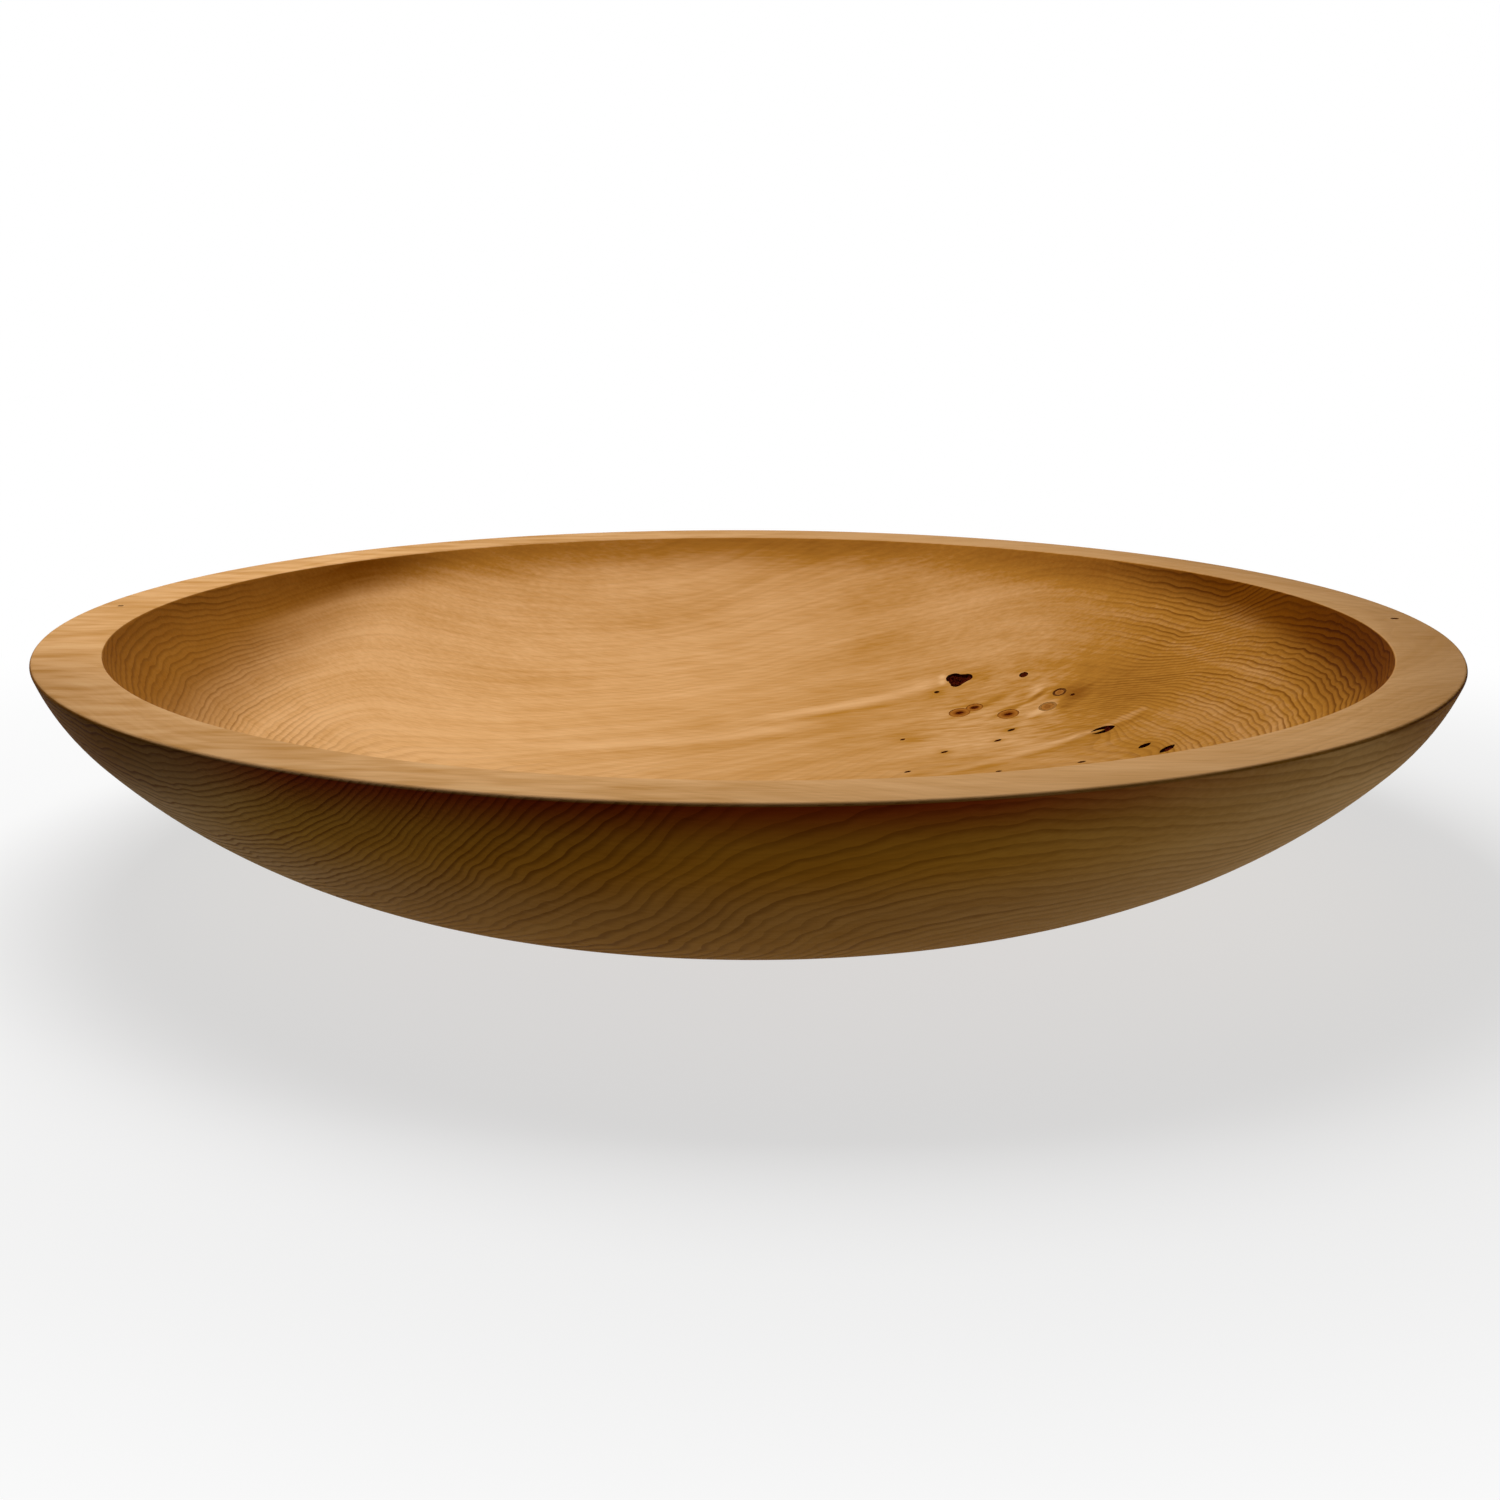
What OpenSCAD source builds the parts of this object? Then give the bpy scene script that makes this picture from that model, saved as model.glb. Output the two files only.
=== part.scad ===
// Wide, shallow serving bowl, turned from one plank of pale timber. The hollow cuts through a
// cluster of small knots. Each knot is a piece of its own, seated in a pocket of the bowl.
// Lengths are in millimetres and angles in degrees. The foot stands on the plane z = 0, the
// bowl's axis is Z, and the grain runs along X.

/* [Bowl] */
// Diameter over the rim, before its edge is eased
rim_d = 420; // [390:1:460]
// Height of the rim above the foot
bowl_h = 73; // [70:0.5:80]
// Width of the flat rim
rim_w = 20; // [16:0.5:24]
// Size of the flat that eases each edge of the rim
rim_ease = 0.6; // [0.2:0.1:1.2]

/* [Outer wall] */
// Radius of the shoulder under the rim
shoulder_r = 61.5; // [54:0.5:70]
// Angle of the wall at the rim, from level
rim_angle = 69.5; // [66:0.5:74]
// Angle of the wall where the shoulder ends, from level
shoulder_angle = 45.5; // [42:0.5:49]

/* [Foot] */
// Diameter of the foot
foot_d = 164; // [140:1:190]
// Height of the step from the foot up to the wall
foot_h = 1.8; // [1:0.1:3]
// Size of the flat that eases the edge of the foot
foot_ease = 0.4; // [0.2:0.1:0.8]
// Width of the ring that the bowl stands on
foot_ring_w = 16; // [8:0.5:24]
// Depth of the dished recess inside that ring
recess_h = 3; // [1.5:0.1:4.5]

/* [Hollow] */
// Thickness of the wood at the middle of the floor
floor_t = 10; // [8:0.5:13]
// Radius of the lip where the hollow leaves the rim
lip_r = 32; // [26:0.5:38]
// Angle of the hollow at the rim, from level
lip_angle = 74; // [70:0.5:78]
// Angle of the hollow where the lip ends, from level
flank_angle = 46; // [43:0.5:49]
// Radius of the shallow arc across the floor
floor_r = 635; // [580:5:700]

/* [Knot cluster] */
// Middle of the cluster, along the grain from the bowl's axis
cluster_x = 92; // [84:1:98]
// Middle of the cluster, across the grain from the bowl's axis
cluster_y = 75; // [66:1:82]
// Length over which the knots are spread
cluster_l = 100; // [94:1:106]
// Hairline between a knot and its pocket
knot_gap = 0.1; // [0.05:0.01:0.15]

/* [Bark knots] */
// Depth of the bark knots in the wood
bark_depth = 6; // [4:0.5:7]
// How far the crumbled bark lies below the turned surface
bark_drop = 0.8; // [0.3:0.1:1.5]
// Width of the large bark knot across its two lobes
large_bark_w = 9.4; // [8:0.1:11]
// Length of the large bark knot from its lobes to its tip
large_bark_l = 8.6; // [7.5:0.1:10]
// Length of the forked bark knot
forked_bark_l = 8.8; // [7.5:0.1:10]
// Width of the forked bark knot across its prongs
forked_bark_w = 5.2; // [4.5:0.1:6.5]
// Width of the tongue of wood between its prongs
fork_tongue_w = 2; // [1.4:0.1:2.6]
// Length of the larger of the two side bark knots
side_bark_l = 6.2; // [5:0.1:7.5]
// Width of the larger of the two side bark knots
side_bark_w = 3.6; // [2.8:0.1:4.4]

/* [Eye knots] */
// Depth of the eye knots in the wood
eye_depth = 5; // [4.5:0.5:7]
// Diameter of the single eye and of the larger twin eye
eye_d = 7.4; // [6.4:0.1:8.4]
// Diameter of the smaller twin eye
small_eye_d = 5.8; // [5:0.1:6.6]
// Distance between the hearts of the twin eyes
twin_gap = 6.2; // [5.4:0.1:6.4]
// Depth of the dark hearts
heart_depth = 3.5; // [2.5:0.5:4]
// Length of a dark heart
heart_l = 3; // [2.2:0.1:3.6]
// Width of a dark heart
heart_w = 1.8; // [1.2:0.1:2.1]

/* [Ringed knots] */
// Depth of the ringed knots in the wood
ringed_depth = 5; // [3.5:0.5:7]
// Diameter over the bark of the larger ringed knot
ringed_d = 6.2; // [5.4:0.1:6.8]
// Diameter over the bark of the smaller ringed knot
small_ringed_d = 4.8; // [4:0.1:5.4]
// Thickness of the ring of bark
ring_t = 0.7; // [0.5:0.05:0.9]

/* [Pin knots] */
// Depth of the pin knots in the wood
pin_depth = 3; // [2:0.5:5]
// Length of the longest pin knot
pin_l = 3.1; // [2.8:0.1:3.8]
// Width of the widest pin knot
pin_w = 2.4; // [1.8:0.1:2.7]
// Diameter of the larger pin knot in the rim
rim_pin_d = 2.4; // [1.6:0.1:3.2]
// Diameter of the smaller pin knot in the rim
small_rim_pin_d = 1.6; // [1:0.1:2.4]

/* [Hidden] */
$fn = 180;

// Overrun of a cut past the face that it opens
over = 4;
rim_r = rim_d / 2;
mouth_r = rim_r - rim_w;
foot_r = foot_d / 2;
recess_r = foot_r - foot_ring_w;

// Direction from the middle of an arc to the place where its wall leans by an angle
function arc_dir(lean) = [sin(lean), -cos(lean)];

// Arcs of the outer wall: the shoulder starts at the rim, and the lower wall runs on from it,
// without a kink, to the top of the foot
shoulder_c = [rim_r, bowl_h] - shoulder_r * arc_dir(rim_angle);
wall_top = shoulder_c + shoulder_r * arc_dir(shoulder_angle);
wall_run = wall_top - [foot_r, foot_h];
wall_r = (wall_run * wall_run) / (2 * wall_run * arc_dir(shoulder_angle));
wall_c = wall_top - wall_r * arc_dir(shoulder_angle);

// Dished recess in the foot, a cap of a large sphere
recess_arc_r = (recess_r ^ 2 + recess_h ^ 2) / (2 * recess_h);

// Arcs of the hollow: the lip starts at the rim, the floor is an arc about the bowl's axis, and
// the flank is the one arc that runs from the end of the lip into the floor without a kink
floor_z = recess_h + floor_t;
floor_c = [0, floor_z + floor_r];
lip_c = [mouth_r, bowl_h] - lip_r * arc_dir(lip_angle);
flank_top = lip_c + lip_r * arc_dir(flank_angle);
flank_run = flank_top - floor_c;
flank_r = (floor_r ^ 2 - flank_run * flank_run) / (2 * (floor_r - flank_run * arc_dir(flank_angle)));
flank_c = flank_top - flank_r * arc_dir(flank_angle);
floor_edge = flank_c.x * floor_r / (floor_r - flank_r);

// Middle and radius of the hollow's arc at a distance from the axis
function hollow_c(r) = r > flank_top.x ? lip_c : r > floor_edge ? flank_c : floor_c;
function hollow_r(r) = r > flank_top.x ? lip_r : r > floor_edge ? flank_r : floor_r;
// Height and lean of the hollow there
function hollow_z(r) = hollow_c(r).y - sqrt(hollow_r(r) ^ 2 - (r - hollow_c(r).x) ^ 2);
function hollow_lean(r) = asin((r - hollow_c(r).x) / hollow_r(r));

// Places of the knots from the middle of the cluster, in shares of the cluster's length
large_bark_share = [-0.16, 0.44];
forked_bark_share = [0.265, -0.19];
twin_eye_share = [-0.15, 0.21];
single_eye_share = [-0.015, 0.12];
ringed_share = [0.12, 0.11];
small_ringed_share = [0.17, 0.185];
// Lobes and tip of the large bark knot: place as shares of its width and length, and radius
// as a share of its width
large_bark_lobe_shares = [
    [-0.21, 0.15, 0.29],
    [0.31, 0.23, 0.19]
];
large_bark_tip_share = [-0.08, -0.34, 0.15];
// Width of a web between two lobes, as a share of the lobes' own
web_share = 0.9;
// Length of the tongue in the forked bark knot, as a share of the knot's length
tongue_share = 0.85;

// Angles of the knots that aren't round, from the grain
large_bark_angle = -8;
forked_bark_angle = 4;
twin_angle = 25;
heart_angle = 8;

// Side bark knots: place shares along and across the grain, length and width shares, angle
side_bark_shares = [
    [0.365, -0.43, 0.75, 0.75, 22],
    [0.42, -0.525, 1, 1, 30]
];

// Pin knots: place shares along and across the grain, length and width shares, angle
pin_shares = [
    [0.065, 0.365, 0.95, 1, -12],
    [-0.243, 0.385, 0.55, 0.5, 0],
    [-0.02, -0.025, 1, 0.5, 34],
    [-0.075, -0.11, 0.95, 0.45, 32],
    [-0.26, -0.165, 0.9, 0.45, 34],
    [-0.395, -0.335, 0.8, 0.4, 35],
    [-0.105, -0.425, 0.6, 0.4, 5],
    [-0.39, -0.005, 0.6, 0.4, 40],
    [0.21, 0.14, 0.45, 0.4, 0],
    [0.16, -0.45, 0.85, 0.45, 5]
];

// Pin knots of the rim: distance from the mouth as a share of the rim's width, and the
// angles at which the larger and the smaller one lie
rim_pin_share = 0.62;
rim_pin_angle = 4.5;
small_rim_pin_angle = 171.5;

// Outlines

// Lens shape of a length and a width, made of two equal arcs
module almond(long, wide) {
    arc_r = (long ^ 2 + wide ^ 2) / (4 * wide);
    intersection() {
        translate([0, wide / 2 - arc_r])
            circle(r = arc_r);
        translate([0, arc_r - wide / 2])
            circle(r = arc_r);
    }
}

// Band between two round lobes
module web(a, a_r, b, b_r, grow) {
    run = b - a;
    side = [-run.y, run.x] / norm(run);
    a_side = side * (a_r * web_share + grow);
    b_side = side * (b_r * web_share + grow);
    polygon([a - a_side, b - b_side, b + b_side, a + a_side]);
}

// Middle and radius of a lobe of the large bark knot
function lobe_middle(share) = [share[0] * large_bark_w, share[1] * large_bark_l];
function lobe_r(share) = share[2] * large_bark_w;

module lobe(share, grow) {
    translate(lobe_middle(share))
        circle(r = lobe_r(share) + grow);
}

// Heart-shaped outline of the large bark knot: two lobes, joined to a tip
module large_bark_outline(grow) {
    tip = large_bark_tip_share;
    lobe(tip, grow);
    for (s = large_bark_lobe_shares) {
        lobe(s, grow);
        web(lobe_middle(s), lobe_r(s), lobe_middle(tip), lobe_r(tip), grow);
    }
}

// Outline of the forked bark knot: an almond split from its left end by a tongue of wood
module forked_bark_outline(grow) {
    tongue_l = forked_bark_l * tongue_share;
    difference() {
        almond(forked_bark_l + 2 * grow, forked_bark_w + 2 * grow);
        translate([(tongue_l - forked_bark_l) / 2 - fork_tongue_w, 0])
            almond(tongue_l - 2 * grow, fork_tongue_w - 2 * grow);
    }
}

// Outline of the twin eye: two overlapping rounds
module twin_eye_outline(grow) {
    translate([-twin_gap / 2, 0])
        circle(d = eye_d + 2 * grow);
    translate([twin_gap / 2, 0])
        circle(d = small_eye_d + 2 * grow);
}

// Half outlines, turned about the bowl's axis

// Rectangle between two distances from the axis and two heights
module band(near, far, low, high) {
    translate([near, low])
        square([far - near, high - low]);
}

// Everything inside the outer wall, with the foot's step and eased edge
module outer_half() {
    polygon([
        [0, 0], [foot_r - foot_ease, 0], [foot_r, foot_ease], [foot_r, bowl_h], [0, bowl_h]
    ]);
    intersection() {
        translate(wall_c)
            circle(r = wall_r, $fn = 2 * $fn);
        band(foot_r, wall_top.x, 0, bowl_h);
    }
    intersection() {
        translate(shoulder_c)
            circle(r = shoulder_r, $fn = 2 * $fn);
        band(wall_top.x, rim_r, 0, bowl_h);
    }
}

// Everything inside the hollow, running up past the rim
module hollow_half() {
    top = bowl_h + over;
    intersection() {
        translate(floor_c)
            circle(r = floor_r, $fn = 4 * $fn);
        band(0, floor_edge, 0, top);
    }
    intersection() {
        translate(flank_c)
            circle(r = flank_r, $fn = 2 * $fn);
        band(floor_edge, flank_top.x, 0, top);
    }
    intersection() {
        translate(lip_c)
            circle(r = lip_r, $fn = 2 * $fn);
        band(flank_top.x, mouth_r, 0, top);
    }
}

// Dished recess in the foot
module recess_half() {
    intersection() {
        translate([0, recess_h - recess_arc_r])
            circle(r = recess_arc_r, $fn = 4 * $fn);
        band(0, recess_r, 0, recess_h);
    }
}

// Corners taken off the rim's outer and inner edges
module rim_ease_half() {
    top = bowl_h + over;
    low = bowl_h - rim_ease - over;
    polygon([[rim_r - rim_ease - over, top], [rim_r + over, low], [rim_r + over, top]]);
    polygon([[mouth_r + rim_ease + over, top], [mouth_r - over, top], [mouth_r - over, low]]);
}

// Shapes that the pieces share

module hollow_void() {
    rotate_extrude()
        hollow_half();
}

// Puts a knot on the hollow at a place in the cluster, standing square to the surface
module on_hollow(share, turn = 0) {
    x = cluster_x + share.x * cluster_l;
    y = cluster_y + share.y * cluster_l;
    r = norm([x, y]);
    azimuth = atan2(y, x);
    translate([x, y, hollow_z(r)])
        rotate([0, 0, azimuth])
            rotate([0, -hollow_lean(r), 0])
                rotate([0, 0, turn - azimuth])
                    children();
}

// Puts a pin knot on the flat of the rim
module on_rim(turn) {
    rotate([0, 0, turn])
        translate([mouth_r + rim_pin_share * rim_w, 0, bowl_h])
            children();
}

// A stem that goes down into the wood from the surface it stands on
module stem(depth, grow = 0, above = over) {
    translate([0, 0, -depth - grow])
        linear_extrude(depth + grow + above)
            children();
}

// Takes from a knot what stands above the turned surface, or above a level below it
module trim_to_hollow(drop = 0) {
    difference() {
        children();
        translate([0, 0, -drop])
            hollow_void();
    }
}

// Stems of the knots, all grown alike for their pockets

module large_bark_stem(grow = 0) {
    on_hollow(large_bark_share, large_bark_angle)
        stem(bark_depth, grow)
            large_bark_outline(grow);
}

module forked_bark_stem(grow = 0) {
    on_hollow(forked_bark_share, forked_bark_angle)
        stem(bark_depth, grow)
            forked_bark_outline(grow);
}

module side_bark_stems(grow = 0) {
    for (s = side_bark_shares)
        on_hollow([s[0], s[1]], s[4])
            stem(bark_depth, grow)
                almond(s[2] * side_bark_l + 2 * grow, s[3] * side_bark_w + 2 * grow);
}

module eye_stems(grow = 0) {
    on_hollow(twin_eye_share, twin_angle)
        stem(eye_depth, grow)
            twin_eye_outline(grow);
    on_hollow(single_eye_share)
        stem(eye_depth, grow)
            circle(d = eye_d + 2 * grow);
}

module heart_stems(grow = 0) {
    long = heart_l + 2 * grow;
    wide = heart_w + 2 * grow;
    for (side = [-1, 1])
        on_hollow(twin_eye_share, twin_angle)
            translate([side * twin_gap / 2, 0, 0])
                rotate([0, 0, heart_angle - twin_angle])
                    stem(heart_depth, grow)
                        almond(long, wide);
    on_hollow(single_eye_share, heart_angle)
        stem(heart_depth, grow)
            almond(long, wide);
}

module ringed_stems(inset, deeper = 0) {
    on_hollow(ringed_share)
        stem(ringed_depth, deeper)
            circle(d = ringed_d - 2 * inset);
    on_hollow(small_ringed_share)
        stem(ringed_depth, deeper)
            circle(d = small_ringed_d - 2 * inset);
}

module pin_stems(grow = 0) {
    for (s = pin_shares)
        on_hollow([s[0], s[1]], s[4])
            stem(pin_depth, grow)
                almond(s[2] * pin_l + 2 * grow, s[3] * pin_w + 2 * grow);
}

module rim_pin_stems(grow = 0, above = 0) {
    on_rim(rim_pin_angle)
        stem(pin_depth, grow, above)
            circle(d = rim_pin_d + 2 * grow);
    on_rim(small_rim_pin_angle)
        stem(pin_depth, grow, above)
            circle(d = small_rim_pin_d + 2 * grow);
}

// The pieces

// Turned body, with a pocket for every knot
module bowl() {
    color("#D09C62")
        difference() {
            rotate_extrude()
                difference() {
                    outer_half();
                    hollow_half();
                    recess_half();
                    rim_ease_half();
                }
            large_bark_stem(knot_gap);
            forked_bark_stem(knot_gap);
            side_bark_stems(knot_gap);
            eye_stems(knot_gap);
            ringed_stems(-knot_gap, knot_gap);
            pin_stems(knot_gap);
            rim_pin_stems(knot_gap, over);
        }
}

// Heart-shaped pocket of dark bark
module large_bark_knot() {
    color("#35120F")
        trim_to_hollow(bark_drop)
            large_bark_stem();
}

// Bark pocket in the shape of a fork
module forked_bark_knot() {
    color("#35120F")
        trim_to_hollow(bark_drop)
            forked_bark_stem();
}

// Two almond-shaped bark pockets
module side_bark_knots() {
    color("#3A1512")
        trim_to_hollow(bark_drop)
            side_bark_stems();
}

// Brown twig wood of the twin eye and the single eye
module eye_knots() {
    color("#A5713A")
        difference() {
            trim_to_hollow()
                eye_stems();
            heart_stems(knot_gap);
        }
}

// Dark hearts of the three eyes
module eye_knot_hearts() {
    color("#4A1F14")
        trim_to_hollow()
            heart_stems();
}

// Two pale twigs, cut across
module ringed_knots() {
    color("#C08C55")
        trim_to_hollow()
            ringed_stems(ring_t + knot_gap);
}

// Thin rings of bark round the pale twigs
module ringed_knot_bark() {
    color("#6B3A17")
        difference() {
            trim_to_hollow()
                ringed_stems(0);
            ringed_stems(ring_t, over);
        }
}

// Small pips and dashes scattered over the cluster
module pin_knots() {
    color("#4A1A12")
        trim_to_hollow()
            pin_stems();
}

// Two pin knots in the flat of the rim
module rim_pin_knots() {
    color("#6B4220")
        rim_pin_stems();
}

bowl();
large_bark_knot();
forked_bark_knot();
side_bark_knots();
eye_knots();
eye_knot_hearts();
ringed_knots();
ringed_knot_bark();
pin_knots();
rim_pin_knots();
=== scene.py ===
"""The looks of a wide turned serving bowl: its timber, its bark knots, the studio, the camera.

Lengths are in metres and in the bowl's own frame: the foot stands on z = 0, the turning axis
is Z and the grain runs along X. Lengths inside a timber's figure are in millimetres.
"""

import logging
from collections.abc import Iterable
from dataclasses import dataclass, field
from enum import Enum
from functools import cache
from math import asin, atan2, cos, hypot, pi, radians, sin, sqrt

import bmesh
import bpy
from bmesh.types import BMesh, BMFace, BMVert
from bpy.types import Material, Node, NodeSocket as Socket, NodeTree as Tree, Object as Thing
from mathutils import Matrix, Vector, noise


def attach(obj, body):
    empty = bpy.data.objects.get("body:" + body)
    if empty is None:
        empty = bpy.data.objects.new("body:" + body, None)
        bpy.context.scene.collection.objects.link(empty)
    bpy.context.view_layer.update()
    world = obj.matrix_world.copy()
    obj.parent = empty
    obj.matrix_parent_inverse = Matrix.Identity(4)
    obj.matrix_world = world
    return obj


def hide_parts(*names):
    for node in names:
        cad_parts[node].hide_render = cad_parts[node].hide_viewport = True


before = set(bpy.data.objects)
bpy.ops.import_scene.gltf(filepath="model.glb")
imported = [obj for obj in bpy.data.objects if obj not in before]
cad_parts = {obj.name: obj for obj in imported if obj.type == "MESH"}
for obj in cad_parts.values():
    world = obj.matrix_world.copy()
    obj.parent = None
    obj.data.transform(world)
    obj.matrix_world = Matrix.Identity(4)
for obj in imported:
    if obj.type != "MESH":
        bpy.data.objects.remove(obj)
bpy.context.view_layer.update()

LOG = logging.getLogger("serving_bowl")
MM = 0.001
BODY = "root"
SMOOTH_BELOW = radians(30)
TINY = 1e-7
MERGE_BELOW = 1e-6
NOISE_MIDDLE = 0.5
NOISE_GAIN = 4.0


# Shader arithmetic


Colour = tuple[float, float, float]


def feed(tree: Tree, node: Node, inputs: dict | tuple) -> None:
    """Gives values to a node's inputs, by name or in order: wires and sockets by links.

    Args:
        tree: node tree for the links.
        node: node that takes the values.
        inputs: values, wires and sockets, by the input's name or in order.
    """
    for key, value in inputs.items() if isinstance(inputs, dict) else enumerate(inputs):
        slot = node.inputs[key]
        source = value.socket if isinstance(value, Wire) else value
        if isinstance(source, Socket):
            tree.links.new(source, slot)
        else:
            slot.default_value = (*source, 1.0) if slot.type == "RGBA" else source


def add(tree: Tree, kind: str, inputs: dict | tuple = (), **settings: str) -> Node:
    """Adds a shader node.

    Args:
        tree: the node tree that takes it.
        kind: Blender's name of its type.
        inputs: the values of its inputs, by name or in order.
        settings: its options.

    Returns:
        The node.
    """
    node = tree.nodes.new("ShaderNode" + kind)
    for name, setting in settings.items():
        setattr(node, name, setting)
    feed(tree, node, inputs)
    return node


class Wire:
    """A number that flows through a node tree, with the arithmetic of Math nodes."""

    def __init__(self, tree: Tree, socket: Socket) -> None:
        """Holds the tree and the socket that gives the number."""
        self.tree = tree
        self.socket = socket

    def math(self, operation: str, *others: "Wire | float") -> "Wire":
        """This number, worked with up to two others by an operation that Blender names."""
        return Wire(self.tree, add(self.tree, "Math", (self, *others), operation=operation).outputs[0])

    def __add__(self, other: "Wire | float") -> "Wire":
        """Sum."""
        return self.math("ADD", other)

    def __sub__(self, other: "Wire | float") -> "Wire":
        """Difference."""
        return self.math("SUBTRACT", other)

    def __mul__(self, other: "Wire | float") -> "Wire":
        """Product."""
        return self.math("MULTIPLY", other)

    def __truediv__(self, other: "Wire | float") -> "Wire":
        """Quotient."""
        return self.math("DIVIDE", other)

    def __rsub__(self, other: float) -> "Wire":
        """Plain number less this one."""
        return self * -1.0 + other

    __radd__ = __add__

    def squared(self) -> "Wire":
        """This number times itself."""
        return self * self

    def root(self) -> "Wire":
        """Square root."""
        return self.math("SQRT")

    def bell(self, middle: float, spread: float) -> "Wire":
        """Bell curve of height one about a middle."""
        return (((self - middle) / spread).squared() * -0.5).math("EXPONENT")

    def within(self) -> "Wire":
        """This number, held between 0 and 1."""
        return self.math("MAXIMUM", 0.0).math("MINIMUM", 1.0)


@dataclass(frozen=True)
class Fade:
    """Smooth step from 0 where it starts to a share where it ends; it may run backwards."""

    start: float
    end: float
    share: float = 1.0

    def of(self, wire: Wire) -> Wire:
        """The step along a wire.

        Args:
            wire: value that the step runs along.

        Returns:
            The step, times its share.
        """
        low, high, lowest = min(self.start, self.end), max(self.start, self.end), float(self.start > self.end)
        node = add(wire.tree, "MapRange", {"Value": wire, "From Min": low, "From Max": high, "To Min": lowest,
                                           "To Max": 1.0 - lowest}, interpolation_type="SMOOTHSTEP")
        step = Wire(wire.tree, node.outputs["Result"])
        return step if self.share == 1.0 else step * self.share


@dataclass(frozen=True)
class Spot:
    """Patch about a point that fades out on all sides, in millimetres."""

    x: float
    y: float
    reach_x: float
    reach_y: float

    def of(self, x: Wire, y: Wire) -> Wire:
        """1 at its middle and nearly 0 past twice its reach."""
        return x.bell(self.x, self.reach_x) * y.bell(self.y, self.reach_y)


@dataclass(frozen=True)
class Grain:
    """Noise: the length of its patches along each axis in millimetres, offset, octaves and share."""

    size: tuple[float, float, float]
    offset: float
    detail: float
    share: float = 1.0


class Finish:
    """A material that is being wired up: its tree, its shader and the piece's coordinates."""

    def __init__(self, name: str) -> None:
        """Starts a material with one Principled shader.

        Args:
            name: name of the material.
        """
        self.material = bpy.data.materials.new(name)
        self.material.use_nodes = True
        self.tree = self.material.node_tree
        self.shader = self.tree.nodes["Principled BSDF"]
        coordinates = add(self.tree, "TexCoord").outputs
        self.metres, self.normal = coordinates["Object"], coordinates["Normal"]
        scaled = add(self.tree, "VectorMath", {0: self.metres, "Scale": 1 / MM}, operation="SCALE")
        self.place = scaled.outputs[0]

    def parts(self, vector: Socket) -> tuple[Wire, Wire, Wire]:
        """Splits a vector into three wires."""
        return tuple(Wire(self.tree, out) for out in add(self.tree, "SeparateXYZ", (vector,)).outputs)

    def vector(self, *parts: Wire) -> Socket:
        """Joins three wires to a vector."""
        return add(self.tree, "CombineXYZ", parts).outputs[0]

    def grain(self, grain: Grain, seed: float = 0.0, vector: Socket | None = None) -> Wire:
        """Adds a noise.

        Args:
            grain: its size, offset and octaves.
            seed: seed of the finish.
            vector: coordinates in millimetres, or None for the piece's own.

        Returns:
            The noise at full strength, spread evenly about zero, mostly within 1 of it.
        """
        shift = {0: vector or self.place, 1: [1 / s for s in grain.size], 2: [seed + grain.offset] * 3}
        place = add(self.tree, "VectorMath", shift, operation="MULTIPLY_ADD").outputs[0]
        noise_node = add(self.tree, "TexNoise", {"Scale": 1.0, "Detail": grain.detail, "Vector": place})
        return (Wire(self.tree, noise_node.outputs[0]) - NOISE_MIDDLE) * NOISE_GAIN

    def mix(self, share: Wire, low: Colour | Socket, high: Colour | Socket, blend: str = "MIX") -> Socket:
        """Colour mixed of a low and a high one, with a share of the high one from 0 to 1."""
        node = add(self.tree, "Mix", {0: share, 6: low, 7: high}, data_type="RGBA", blend_type=blend)
        return node.outputs[2]

    def surface(self, colour: Colour | Socket, roughness: Wire | float, shine: float) -> None:
        """Sets the colour, the roughness and how strongly the oiled surface shines."""
        feed(self.tree, self.shader,
             {"Base Color": colour, "Roughness": roughness, "Specular IOR Level": shine})

    def relief(self, height: Wire, depth: float) -> None:
        """Raises the surface where height is 1 by a depth in metres."""
        bump = add(self.tree, "Bump", {"Distance": depth, "Height": height})
        feed(self.tree, self.shader, {"Normal": bump.outputs[0]})


# The turned form


@dataclass(frozen=True)
class Arc:
    """Arc of a profile. A lean is its angle from level; at a lean of 0 it is at its lowest."""

    middle: Vector
    radius: float

    def at(self, lean: float) -> Vector:
        """Point of the arc where it leans by an angle."""
        return self.middle + self.radius * Vector((sin(lean), -cos(lean)))

    def points(self, start: float, end: float, steps: int) -> list[Vector]:
        """Points from one lean to another, both included."""
        return [self.at(start + (end - start) * i / steps) for i in range(steps + 1)]

    def lean_at(self, distance: float) -> float:
        """Lean of the lower half at a distance from the bowl's axis."""
        return asin((distance - self.middle.x) / self.radius)


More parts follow.
